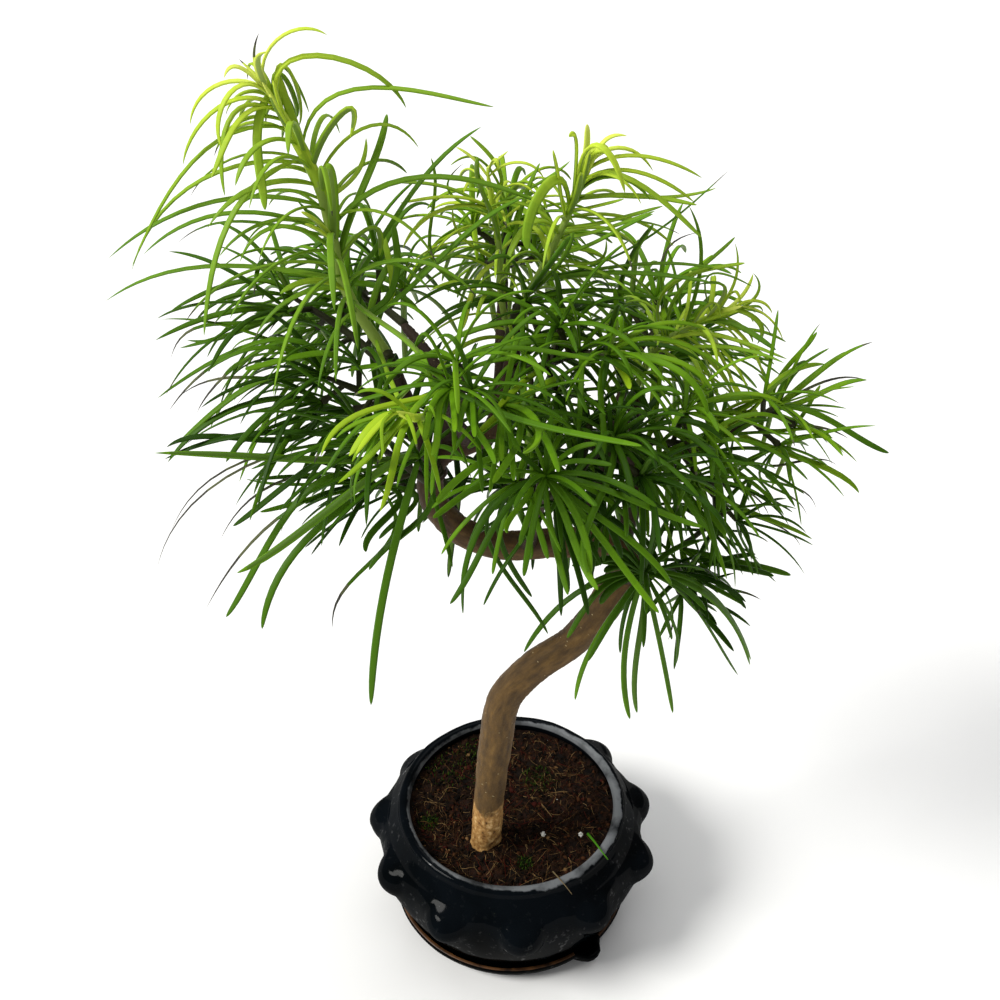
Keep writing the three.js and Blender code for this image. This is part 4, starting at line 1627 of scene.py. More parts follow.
TOP_RIGHT = (
    Reach(
        ((570, 212), (568, 190), (563, 179), (556, 175), (546, 181), (533, 215), (528, 250)),
        -14, 3.6, 0.8, (4, 7), roll=0.8,
    ),
    Reach(((562, 238), (551, 226), (540, 219), (527, 224), (515, 245), (507, 265)), -10, 2.6, 0.7, (5, 6)),
    Reach(((563, 217), (561, 194), (557, 167), (553, 150)), -4, 2.4, 0.8, (4, 3), roll=0.8),
    Reach(
        ((573, 198), (575, 178), (577, 156), (576, 138), (573, 128), (569, 137)),
        0, 2.4, 0.8, (4, 3), roll=0.9,
    ),
    Reach(((577, 190), (583, 170), (586, 148), (588, 133), (587, 124)), 6, 2.3, 0.8, (2, 0)),
    Reach(
        ((576, 192), (581, 167), (592, 141), (598, 138), (604, 148), (616, 175), (625, 193)),
        -10, 2.7, 0.5, (1, 4),
    ),
    Reach(((580, 186), (593, 160), (601, 144), (609, 137), (627, 136)), 4, 2.6, 0.4, (1, 1)),
    Reach(
        ((582, 186), (598, 157), (607, 148), (617, 146), (627, 147), (640, 158), (653, 171)),
        10, 2.3, 0.4, (0, 3),
    ),
    Reach(((584, 176), (598, 160), (614, 158), (645, 157), (675, 163), (702, 178)), 8, 2.2, 0.4, (2, 5)),
    Reach(((582, 182), (604, 171), (635, 171), (661, 180), (694, 202)), 4, 2.3, 0.5, (2, 5)),
    Reach(
        ((574, 205), (583, 183), (594, 173), (606, 170), (625, 176), (655, 196), (702, 238)),
        -8, 2.7, 0.6, (3, 7),
    ),
    Reach(((570, 214), (583, 189), (594, 179), (606, 174), (625, 180), (650, 200)), -2, 2.4, 0.5, (7, 7)),
    Reach(((572, 212), (580, 190), (586, 168), (590, 150)), -4, blunt=0.5, tints=(5, 2)),
    Reach(((570, 218), (576, 196), (581, 172)), -8, blunt=0.5, tints=(6, 4)),
    Reach(((568, 222), (572, 200), (578, 180), (582, 160)), 6, 2.6, 0.5, (4, 3)),
    Reach(((575, 202), (596, 195), (625, 196), (665, 198), (697, 205)), 0, 2.6, 0.7, (5, 6)),
    Reach(((590, 200), (665, 197), (696, 194), (716, 188)), 12, 1.9, 0.5, (5, 6)),
    Reach(((571, 214), (596, 206), (624, 199)), -6, 1.9, 0.5, (4, 6)),
    Reach(((569, 231), (594, 224), (635, 214), (663, 206)), -4, 2.2, 0.5, (5, 7)),
    Reach(((565, 243), (594, 232), (625, 222), (655, 211)), -8, 2.1, 0.5, (6, 8)),
    Reach(((560, 260), (594, 243), (625, 226), (653, 214)), -14, 2.4, 0.7, (7, 9)),
    Reach(((588, 222), (625, 220), (655, 224), (681, 235)), -2, 1.3, 0.2, (6, 7), dry=0.9),
    Reach(((522, 303), (543, 273), (559, 251), (570, 236)), -16, 3.7, 1.0, (10, 10)),
    Reach(((526, 304), (550, 274), (566, 252), (573, 232)), -8, 3.2, 1.0, (8, 8)),
    Reach(((555, 284), (604, 261), (645, 241), (688, 206), (729, 170)), 6, 1.3, 0.2, (9, 10), dry=0.9),
    Reach(((602, 284), (602, 259), (606, 240)), -2, 1.9, 0.8, (5, 7)),
    Reach(((545, 288), (594, 273), (645, 273), (686, 278), (710, 282)), -4, 2.5, 0.7),
    Reach(((545, 285), (604, 269), (645, 262), (686, 265), (722, 270)), 6, 1.9, 0.5, (8, 8)),
)

TOP_CENTRE = (
    Reach(((506, 244), (498, 231), (488, 206), (479, 182), (478, 157)), -2, 2.6, 0.95, (6.5, 7.5)),
    Reach(((514, 198), (502, 178), (488, 153), (470, 136)), 16, 1.9, 0.5, (5.5, 6.5)),
    Reach(((486, 176), (474, 159), (456, 147)), 14, 1.6, 0.5, (0.5, 1.5)),
    Reach(((490, 169), (496, 161), (508, 151)), 12, 1.4, 0.3, (0.5, 1.5)),
    Reach(((490, 178), (500, 167), (515, 162), (529, 164), (544, 179)), 10, 1.6, 0.4, (1.5, 2.5)),
    Reach(((492, 222), (482, 206), (461, 192), (431, 184), (400, 183)), 4, 2.0, 0.6, (5.5, 6.5)),
    Reach(((490, 212), (461, 197), (430, 198), (400, 203)), -2, 1.9, 0.5, (2.5, 3.5)),
    Reach(((470, 215), (440, 210), (412, 232), (403, 248)), -6, 2.0, 0.5, (2.5, 3.5)),
    Reach(((424, 290), (427, 243), (435, 206), (436, 181), (431, 158)), 10, 2.1, 0.8, (7.5, 7.5)),
    Reach(((522, 292), (516, 230), (522, 206), (531, 181), (540, 163)), 10, 2.2, 0.8, (7.5, 7.5)),
    Reach(((500, 205), (530, 188), (551, 176), (570, 161)), 16, 1.7, 0.5, (7.5, 7.5)),
    Reach(((506, 246), (471, 248), (441, 261), (412, 278)), -4, 2.0, 0.7, (7.5, 8.5)),
    Reach(((458, 262), (458, 232), (453, 208)), 4, 1.9, 0.7, (3.5, 3.5)),
    Reach(((441, 225), (447, 188), (464, 163)), 14, 1.4, 0.2, (7.5, 7.5), dry=0.8),
    Reach(((500, 235), (520, 222), (540, 232), (548, 262)), -6, 1.9, 0.6, (2.5, 3.5)),
    Reach(((496, 260), (480, 275), (470, 300), (462, 330)), -12, 2.0, 0.6, (1.5, 2.5)),
)

RIGHT_UPPER = (
    Reach(
        ((700, 321), (714, 310), (725, 302), (730, 295), (737, 269), (735, 243)), 18, 1.6, 0.3, (2.5, 5.5)
    ),
    Reach(
        ((702, 321), (714, 306), (725, 297), (729, 291), (726, 286), (716, 283), (700, 284)),
        10, 2.1, 0.6, (1.5, 8.5),
    ),
    Reach(((722, 315), (741, 297), (748, 287), (753, 274)), 22, 1.7, 0.3, (0, 3)),
    Reach(
        ((722, 316), (734, 311), (746, 305), (755, 298), (760, 289), (759, 282), (753, 273)),
        16, 1.9, 0.3, (1.5, 7.5),
    ),
    Reach(((738, 308), (749, 307), (757, 306), (762, 308), (763, 312)), 18, 1.6, 0.4, (3.5, 8.5)),
    Reach(
        ((730, 314), (749, 315), (757, 319), (762, 326), (762, 333), (757, 344)), 8, 2.7, 0.4, (4.5, 6.5)
    ),
    Reach(((722, 317), (736, 322), (746, 329), (751, 336), (753, 343)), 4, 1.3, 0.4, (4.5, 6.5)),
    Reach(((740, 312), (762, 323), (769, 330), (771, 337)), 14, 1.4, 0.1, (5.5, 7.5), dry=0.8),
    Reach(
        ((698, 325), (717, 321), (735, 323), (748, 331), (768, 345), (776, 350)), 0, 3.0, 0.6, (6.5, 9.5)
    ),
    Reach(((704, 320), (724, 312), (742, 306)), 12, 2.4, 0.5, (3, 0)),
    Reach(((700, 322), (720, 316), (738, 311)), 6, 2.5, 0.5, (5.5, 3.5)),
    Reach(
        ((656, 339), (682, 332), (707, 336), (733, 341), (761, 346), (787, 359)), -4, 2.2, 0.4, (3.5, 6.5)
    ),
    Reach(((650, 350), (682, 348), (716, 346), (750, 351), (784, 363)), -10, 2.2, 0.4, (5.5, 7.5)),
    Reach(((657, 320), (673, 300), (687, 282), (704, 265), (735, 237)), 12, 2.2, tints=(6.5, 7.5)),
    Reach(((640, 306), (664, 288), (687, 277), (716, 267), (745, 263)), 4, 2.4, tints=(5.5, 5.5)),
    Reach(((655, 340), (618, 294), (624, 273), (635, 251), (654, 224)), 2, 2.3, tints=(8.5, 8.5)),
    Reach(
        ((678, 320), (688, 308), (701, 282), (702, 262), (698, 236), (689, 206)), 12, 1.5, 0.3, (7.5, 8.5)
    ),
    Reach(((690, 268), (714, 272), (737, 279), (753, 287)), 8, 1.3, 0.3, (7, 8)),
    Reach(((693, 384), (710, 420), (714, 458), (716, 500), (716, 583)), -30, 1.8, 0.3, (7.5, 9.5)),
    Reach(((637, 269), (665, 251), (702, 232)), 22, 1.2, 0.1, (8, 8), dry=0.6),
)

BRIGHT_FRONT = (
    Reach(
        ((403, 416), (393, 428), (381, 444), (366, 459), (351, 473), (338, 483)), -112, 2.0, 0.4, (5.9, 4.9)
    ),
    Reach(
        ((400, 413), (389, 415), (374, 417), (358, 423), (343, 431), (336, 438)), -108, 1.7, 0.3, (5.9, 6.9)
    ),
    Reach(
        ((398, 413), (384, 417), (374, 423), (363, 436), (357, 446), (349, 456)), -112, 2.6, 0.4, (3.9, 3.9)
    ),
    Reach(
        ((394, 414), (380, 424), (374, 430), (367, 439), (361, 447), (356, 454)), -116, 1.7, 0.4, (2.9, 2.9)
    ),
    Reach(((396, 415), (380, 427), (374, 436), (369, 445), (364, 453)), -110, 1.5, 0.3, (6.9, 7.9)),
    Reach(
        ((392, 413), (363, 423), (353, 433), (343, 445), (335, 456), (321, 478)), -100, 2.0, 0.5, (7.9, 8.9)
    ),
    Reach(
        ((392, 415), (383, 423), (381, 433), (382, 444), (384, 453), (381, 459)), -120, 1.0, 0.3, (4.9, 5.9)
    ),
    Reach(
        ((398, 415), (372, 446), (357, 473), (356, 482), (354, 493), (355, 503)), -104, 1.6, 0.3, (6.9, 7.9)
    ),
    Reach(((397, 415), (366, 446), (351, 477), (351, 490), (352, 502)), -100, 1.5, 0.3, (7.9, 8.9)),
    Reach(((412, 418), (402, 413), (389, 410)), -104, 1.9, 0.4, (5.9, 4.9)),
    Reach(((402, 415), (388, 418), (376, 426), (366, 438), (352, 462)), -106, 1.9, 0.4, (4.9, 5.9)),
)

LEFT_FRONT = (
    Reach(((456, 401), (493, 411), (540, 424), (586, 436), (642, 446)), -106, 2.2, 0.8, (9.5, 7.5)),
    Reach(((441, 401), (438, 424), (432, 456)), -104, 2.2, 0.95, (7.5, 6.5)),
    Reach(((434, 401), (428, 422), (424, 441)), -100, 2.0, 0.95, (7.5, 6.5)),
    Reach(((426, 399), (412, 411), (403, 427), (397, 455), (389, 485), (380, 511)), -114, 2.1, 0.5, (7, 4)),
    Reach(
        ((429, 397), (412, 399), (397, 403), (366, 410), (351, 418), (335, 431), (321, 456)),
        -104, 2.0, 0.4, (4, 4),
    ),
    Reach(((454, 412), (455, 432)), -96, 2.0, 0.95, (7.5, 6.5)),
    Reach(((462, 412), (459, 432)), -92, 2.0, 0.95, (8.5, 7.5)),
    Reach(((473, 412), (475, 437)), -96, 1.9, 0.95, (8.5, 7.5)),
    Reach(((467, 409), (478, 431), (488, 448), (495, 464)), -100, 2.0, 0.95, (8.5, 7.5)),
    Reach(((502, 420), (501, 461)), -96, 1.9, 0.95, (7.5, 6.5)),
    Reach(((519, 424), (521, 440), (510, 455), (493, 483)), -98, 2.2, 0.95, (8.5, 6.5)),
    Reach(((510, 431), (512, 453), (514, 481)), -92, 1.9, 0.95, (8.5, 7.5)),
    Reach(((540, 430), (536, 444), (523, 453)), -104, 2.4, 1.0, (7.5, 6.5)),
    Reach(((544, 435), (552, 453), (559, 472)), -96, 2.2, 0.95, (8.5, 7.5)),
    Reach(((405, 387), (380, 395), (358, 400)), -66, 1.9, tints=(8.5, 8.5)),
    Reach(((450, 360), (500, 348), (552, 352), (596, 360)), -50, 2.1, tints=(8.5, 7.5)),
)

CROWN_MIDDLE = (
    Reach(((556, 366), (525, 381), (510, 394), (497, 409)), -66, 2.3, tints=(5.6, 4.6)),
    Reach(((569, 374), (539, 388), (502, 412), (479, 433)), -66, 2.4, tints=(6.6, 4.6)),
    Reach(((602, 370), (601, 394), (603, 422), (602, 459)), -62, 2.4, tints=(8.6, 8.6)),
    Reach(((595, 361), (610, 363), (624, 374), (630, 389)), -52, 2.5, tints=(4.6, 4.6)),
    Reach(((630, 356), (656, 360), (682, 372), (699, 391), (708, 414)), -46, 2.7, tints=(6.6, 7.6)),
    Reach(((630, 356), (664, 356), (690, 368), (713, 390)), -36, 2.4, tints=(6.6, 6.6)),
    Reach(((620, 345), (660, 338), (700, 352), (728, 372)), -24, 2.2, 0.8, (6.6, 6.6)),
    Reach(((612, 350), (640, 330), (676, 322), (706, 330)), -10, 2.1, 0.8, (5.6, 6.6)),
    Reach(((600, 350), (570, 335), (530, 338), (490, 352)), -30, 2.2, 0.8, (7.6, 7.6)),
    Reach(((602, 340), (588, 318), (560, 310), (528, 318)), -14, 2.1, 0.8, (7.6, 7.6)),
    Reach(((610, 340), (616, 315), (614, 288)), -4, 2.0, tints=(7.6, 7.6)),
    Reach(((540, 300), (580, 290), (625, 292), (660, 300)), -2, 2.1, 0.8, (8.6, 8.6)),
    Reach(((540, 305), (585, 302), (630, 312), (664, 330)), -12, 2.0, 0.8, (9.6, 8.6)),
    Reach(((510, 300), (470, 305), (430, 330), (404, 360)), -26, 2.1, 0.8, (9.6, 9.6)),
    Reach(((512, 292), (476, 280), (440, 290), (414, 305)), -8, 1.8, 0.8, (8.6, 9.6)),
)

CENTRE_FRONT = (
    Reach(((558, 461), (576, 448), (597, 444)), -70, 2.1, 0.95, (8.8, 7.8)),
    Reach(((560, 464), (586, 461), (612, 465)), -78, 2.1, 0.95, (8.8, 8.8)),
    Reach(((554, 473), (576, 472), (604, 479), (632, 490), (657, 507)), -84, 2.2, 0.95, (8.8, 8.8)),
    Reach(
        ((554, 477), (586, 483), (613, 492), (650, 507), (678, 520), (703, 527)), -80, 2.4, 0.95, (8.8, 7.8)
    ),
    Reach(((547, 479), (547, 505), (554, 542), (568, 595)), -100, 2.0, 0.95, (8.8, 7.8)),
    Reach(((551, 481), (563, 510), (576, 547), (598, 590)), -104, 2.4, 0.95, (8.8, 6.8)),
    Reach(((556, 483), (573, 509), (586, 542), (590, 574)), -98, 2.4, 0.95, (8.8, 6.8)),
    Reach(((560, 480), (580, 492), (597, 506)), -90, 2.1, 0.95, (9.8, 8.8)),
    Reach(((540, 481), (514, 497), (499, 520), (478, 557), (450, 604)), -96, 2.1, 0.95, (9.8, 9.8)),
    Reach(((536, 477), (502, 497), (480, 527), (467, 559), (462, 590)), -90, 2.1, 0.95, (9.8, 9.8)),
    Reach(((532, 486), (517, 509), (507, 533)), -100, 1.9, 0.95, (7.8, 6.8)),
    Reach(((528, 500), (539, 529), (548, 559)), -94, 2.0, 0.95, (8.8, 7.8)),
    Reach(((519, 505), (528, 534), (531, 559)), -88, 1.9, 0.95, (8.8, 8.8)),
    Reach(((512, 455), (484, 462), (460, 477), (437, 503)), -96, 2.4, 0.95, (7.8, 6.8)),
    Reach(((493, 481), (465, 494), (433, 518)), -90, 2.2, 0.95, (8.8, 7.8)),
    Reach(((591, 525), (613, 553), (637, 586), (659, 613)), -100, 2.4, 0.95, (8.8, 6.8)),
    Reach(((580, 505), (615, 527), (641, 549), (660, 570), (672, 585)), -88, 2.4, 0.95, (8.8, 7.8)),
    Reach(((499, 536), (514, 570), (532, 597)), -70, 1.9, tints=(10.8, 10.8)),
    Reach(((484, 532), (506, 570), (536, 616), (548, 634)), -72, 1.7, 0.8, (10.8, 9.8)),
    Reach(((480, 520), (466, 560), (463, 614)), -70, 1.9, 0.8, (10.8, 10.8)),
    Reach(((545, 465), (548, 440), (552, 415)), -62, 2.0, tints=(8.8, 8.8)),
    Reach(((538, 466), (515, 450), (500, 440)), -66, 1.9, tints=(9.8, 9.8)),
)

CENTRE_RIGHT = (
    Reach(
        ((618, 438), (617, 460), (606, 482), (592, 508), (587, 536), (588, 573)), -100, 2.3, 0.95, (9, 8)
    ),
    Reach(((624, 446), (621, 473), (625, 505), (626, 537)), -84, 2.1, 0.95, (9, 9)),
    Reach(((612, 480), (610, 505), (611, 547)), -80, 2.0, 0.95, (9, 9)),
    Reach(((640, 445), (665, 470), (690, 505), (708, 530)), -66, 2.2, tints=(9, 9)),
    Reach(((632, 432), (668, 428), (704, 446), (727, 476)), -60, 2.2, tints=(9, 10)),
    Reach(((618, 425), (630, 400), (655, 388), (684, 396)), -56, 2.1, tints=(9, 9)),
    Reach(((604, 430), (575, 415), (548, 412), (520, 425)), -60, 2.1, tints=(10, 9)),
)

RIGHT_MIDDLE = (
    Reach(((689, 470), (700, 497), (715, 520), (726, 535)), -50, 2.4, tints=(7, 8)),
    Reach(((704, 491), (719, 527), (734, 560), (735, 589)), -40, 1.5, 0.3, (7, 8)),
    Reach(((712, 440), (745, 440), (780, 455), (808, 480)), -24, 2.0, 0.8, (7, 8)),
    Reach(((708, 436), (735, 418), (765, 414), (792, 424)), -16, 2.0, 0.8, (6, 7)),
    Reach(((705, 455), (735, 470), (764, 492), (784, 515)), -30, 1.9, 0.5, (7, 8)),
    Reach(((690, 440), (668, 452), (650, 475), (640, 505)), -52, 2.2, tints=(8, 8)),
    Reach(((690, 380), (703, 403), (712, 428), (715, 466), (717, 514)), -40, 2.4, 0.8, (7, 8)),
)

RIGHT_OUTER = (
    Reach(((766, 412), (773, 392), (781, 374), (802, 351), (817, 332)), 6, 2.9, 0.8, (6, 7)),
    Reach(((775, 401), (785, 384), (795, 370), (807, 361)), 10, 3.0, tints=(9, 9)),
    Reach(((750, 399), (768, 386), (785, 375), (802, 367), (824, 364)), 14, 2.5, 0.6, (5, 6)),
    Reach(((781, 406), (802, 387), (828, 365), (850, 351), (873, 342)), 10, 1.9, 0.2, (6, 7), dry=0.88),
    Reach(((785, 403), (811, 387), (833, 379), (854, 377), (866, 380)), 6, 1.3, 0.1, (8, 8), dry=0.3),
    Reach(((794, 406), (819, 392), (845, 384), (867, 380)), 0, 2.5, 0.5, (6, 7)),
    Reach(((785, 404), (800, 407), (826, 419), (855, 435), (889, 453)), -10, 3.0, 0.8, (7, 10)),
    Reach(((761, 429), (785, 430), (812, 430)), -6, 2.2, 0.5, (6, 6)),
    Reach(((780, 418), (802, 423), (819, 429), (832, 438)), -2, 2.1, 0.4, (6, 7)),
    Reach(((771, 446), (794, 439), (811, 436), (833, 438)), 2, 2.3, 0.4, (7, 7)),
    Reach(((806, 420), (828, 429), (849, 439)), 4, 1.3, 0.1, (8, 8), dry=0.3),
    Reach(((726, 429), (750, 439), (776, 446), (802, 458), (828, 472), (859, 493)), -8, 2.9, 0.7, (5, 6)),
    Reach(((768, 468), (792, 460), (816, 461), (838, 467)), 8, 1.3, 0.1, (8, 8), dry=0.3),
    Reach(((785, 451), (809, 446)), 10, 2.0, 0.5, (7, 8)),
    Reach(((719, 497), (752, 512), (784, 525), (812, 539)), -6, 2.7, 0.6, (7, 6)),
    Reach(((738, 487), (759, 497), (769, 516)), -4, 1.6, 0.1, (8, 8), dry=0.6),
    Reach(((763, 483), (790, 495), (807, 516)), 2, 1.8, 0.1, (8, 8), dry=0.7),
    Reach(((769, 480), (801, 489), (816, 509)), 6, 1.8, 0.1, (8, 8), dry=0.7),
    Reach(((742, 398), (736, 388), (729, 378)), -2, 2.6, 0.6, (3, 2)),
    Reach(((744, 412), (752, 404), (757, 411), (755, 418)), -4, 2.2, 0.7, (4, 3)),
    Reach(((738, 416), (746, 407), (753, 406)), -6, 2.4, 0.7, (5, 4)),
    Reach(((722, 414), (732, 407), (744, 402), (756, 401)), -8, 2.6, 0.6, (5, 5)),
    Reach(((716, 416), (726, 411), (738, 411), (748, 416)), -10, blunt=0.7, tints=(6, 6)),
    Reach(((724, 424), (718, 421), (712, 424)), -6, 2.0, 0.8, (4, 4)),
    Reach(((726, 428), (719, 427), (713, 432)), -6, 2.0, 0.8, (4, 4)),
    Reach(((728, 430), (723, 434), (722, 441)), -6, 2.0, 0.8, (4, 5)),
    Reach(((728, 426), (734, 421), (741, 422)), -6, 2.0, 0.7, (5, 4)),
    Reach(((740, 420), (748, 418), (754, 419)), -6, 2.0, 0.7, (4, 4)),
    Reach(((700, 408), (714, 412), (730, 414)), -16, 3.0, 0.7, (7, 7)),
)

RIGHT_LOW = (
    Reach(((668, 554), (710, 556), (752, 565), (791, 575)), -16, 3.2, tints=(8.3, 8.3)),
    Reach(((673, 560), (710, 562), (748, 569), (774, 576)), -22, tints=(10.3, 10.3)),
    Reach(((715, 497), (763, 516), (784, 533), (801, 548)), 4, 1.6, 0.1, (8.3, 8.3), dry=0.5),
    Reach(((736, 506), (742, 522), (742, 538)), -12, 1.8, 0.3, (8.3, 9.3)),
    Reach(((710, 586), (731, 596), (745, 606)), -26, 2.2, 0.6, (8.3, 8.3)),
    Reach(((702, 584), (731, 589), (761, 600)), -20, 1.7, 0.2, (8.3, 8.3), dry=0.8),
    Reach(((740, 535), (755, 560), (776, 582)), -14, 2.0, 0.3, (9.3, 9.3)),
)

LOW_FRONT = (
    Reach(((641, 573), (624, 557), (606, 547), (586, 543)), -58, 2.2, tints=(10, 9.5)),
    Reach(((641, 573), (620, 565), (598, 561), (572, 566)), -60, 2.2, tints=(10.5, 10)),
    Reach(((642, 572), (632, 552), (622, 535), (614, 515)), -56, 2.1, tints=(10.5, 10)),
    Reach(((644, 571), (650, 548), (654, 528), (652, 508)), -52, 2.1, tints=(10.5, 10.5)),
    Reach(((641, 574), (622, 573), (600, 579), (578, 594)), -61, 2.3, tints=(10, 9.5)),
    Reach(((646, 573), (664, 556), (680, 546), (700, 541)), -46, 2.2, tints=(10.5, 10)),
    Reach(((584, 588), (559, 607), (538, 630), (524, 652)), -62, 2.3, tints=(10, 10)),
    Reach(((593, 596), (580, 617), (567, 638)), -66, 2.2, tints=(10, 9)),
    Reach(((634, 576), (618, 607), (593, 645), (580, 676), (575, 700)), -60, 2.3, tints=(9, 8)),
    Reach(((626, 609), (621, 634), (620, 653)), -54, 2.1, tints=(10, 10)),
    Reach(((637, 596), (626, 638), (624, 680), (630, 719)), -62, 2.4, tints=(9, 8)),
    Reach(((645, 605), (637, 645), (635, 680), (637, 713)), -56, 2.3, tints=(9, 9)),
    Reach(((654, 613), (660, 649), (668, 680), (673, 713)), -60, 2.4, tints=(9, 8)),
    Reach(((664, 605), (675, 626), (676, 664)), -50, 2.1, tints=(9, 9)),
    Reach(((679, 588), (700, 617), (723, 649), (738, 675)), -36, 2.1, 0.7, (9, 9)),
    Reach(((689, 584), (721, 607), (738, 632), (750, 665)), -36, 3.0, 0.8, (9, 8)),
    Reach(((700, 584), (727, 613), (746, 643), (751, 660)), -30, 2.4, 0.8, (9, 8)),
    Reach(((664, 590), (672, 608), (668, 640)), -46, 1.5, 0.3, (9, 9), dry=0.7),
    Reach(((642, 574), (634, 560), (622, 550), (606, 552)), -58, 3.0, tints=(11, 10)),
    Reach(((642, 575), (627, 562), (610, 558), (594, 566)), -60, 3.0, tints=(11, 10.5)),
    Reach(((643, 573), (640, 553), (632, 538), (622, 528)), -56, tints=(11, 10.5)),
    Reach(((641, 577), (628, 578), (612, 588), (600, 604)), -60, 3.0, tints=(11, 10)),
    Reach(((644, 572), (642, 550), (640, 532), (636, 518)), -54, tints=(11, 10.5)),
    Reach(((641, 575), (632, 568), (618, 566), (604, 572)), -58, 3.0, tints=(11, 10.5)),
)

LEFT_LOW = (
    Reach(
        ((408, 451), (360, 459), (312, 461), (255, 458), (207, 452), (155, 453)),
        -58, 2.7, 0.3, (8, 7), roll=3.9,
    ),
    Reach(((331, 431), (293, 435), (236, 437), (188, 445), (165, 459)), -38, 2.5, 0.5, (11, 12)),
    Reach(((247, 460), (216, 475), (188, 500), (171, 532)), -26, 1.4, 0.1, (9, 9), dry=0.45),
    Reach(
        ((258, 460), (226, 477), (188, 512), (165, 539), (155, 558), (157, 570)),
        -30, 1.4, 0.1, (9, 9), dry=0.4,
    ),
    Reach(((312, 484), (274, 484), (246, 479)), -20, 1.5, 0.4, (9, 8)),
    Reach(((270, 485), (247, 502), (232, 520), (220, 541)), -34, 1.4, 0.1, (9, 9), dry=0.4),
    Reach(((318, 464), (293, 477), (270, 497), (251, 516), (233, 526)), -44, 3.0, tints=(11, 11)),
    Reach(((299, 502), (278, 508), (260, 512)), -40, 2.2, 0.8, (9, 9)),
    Reach(((289, 508), (255, 542), (222, 579), (211, 596), (206, 609)), -44, 1.6, 0.1, (9, 9), dry=0.5),
    Reach(((341, 466), (303, 500), (274, 537), (247, 577), (226, 617)), -52, 3.0, tints=(9, 9)),
    Reach(
        ((427, 443), (389, 468), (331, 506), (293, 537), (262, 562), (237, 573)),
        -70, 3.1, 0.5, (8, 7), roll=3.7,
    ),
    Reach(((366, 497), (312, 531), (289, 558), (274, 592), (262, 629)), -60, 2.9, tints=(9, 9)),
    Reach(((394, 539), (360, 569), (341, 596), (333, 629)), -46, 1.8, 0.1, (9, 9), dry=0.7),
    Reach(((402, 500), (387, 516), (366, 552)), -48, 2.6, tints=(10, 10)),
    Reach(((417, 502), (394, 523), (379, 539)), -44, 2.3, tints=(10, 10)),
    Reach(((427, 514), (398, 537), (369, 570)), -46, 2.5, tints=(10, 10)),
    Reach(((417, 458), (408, 502), (394, 542), (383, 592), (375, 659), (371, 705)), -62, 3.1, tints=(9, 9)),
)

LEFT_MIDDLE = (
    Reach(((309, 338), (254, 349), (213, 360), (180, 379), (158, 398)), -20, 2.4, 0.3, (7, 9)),
    Reach(((265, 346), (221, 360), (191, 384), (169, 411)), -30, 2.0, 0.1, dry=0.75),
    Reach(((309, 340), (265, 349), (232, 368), (197, 413)), -24, 2.1, 0.1, dry=0.7),
    Reach(((254, 378), (213, 379), (180, 396)), -10, 1.7, 0.1, dry=0.6),
    Reach(((337, 357), (282, 360), (245, 369)), -28, tints=(7, 7)),
    Reach(((331, 365), (282, 373), (227, 401), (178, 443)), -36, 2.6, 0.5, (8, 8)),
    Reach(((309, 436), (254, 436), (200, 439), (167, 447)), -42, blunt=0.5, tints=(11, 12)),
    Reach(((320, 392), (262, 400), (210, 421), (168, 462)), -40, 2.6, 0.5, (9, 10)),
    Reach(((310, 395), (270, 415), (240, 440), (226, 462)), -50, 2.4, 0.5, (9, 10)),
    Reach(((345, 372), (380, 362), (410, 368), (432, 380)), -44, 2.6, 0.7, (8, 8)),
)

LEFT_UPPER = (
    Reach(((282, 283), (241, 283), (200, 294), (172, 310)), -8, 2.5, 0.3, (7, 9)),
    Reach(((309, 316), (254, 310), (213, 316), (178, 327), (156, 340)), -20, blunt=0.3),
    Reach(((243, 324), (205, 324), (183, 335), (171, 358)), -6, 2.1, 0.1, dry=0.75),
    Reach(((243, 330), (180, 348)), 0, 2.5, 0.3),
    Reach(((260, 322), (215, 340), (187, 340)), 4, 2.1, 0.3),
    Reach(((300, 300), (262, 292), (220, 300), (195, 322)), -4, 2.2, 0.3),
    Reach(((310, 290), (350, 282), (390, 290), (420, 312)), -10, 2.9, 0.6, (8, 8)),
)

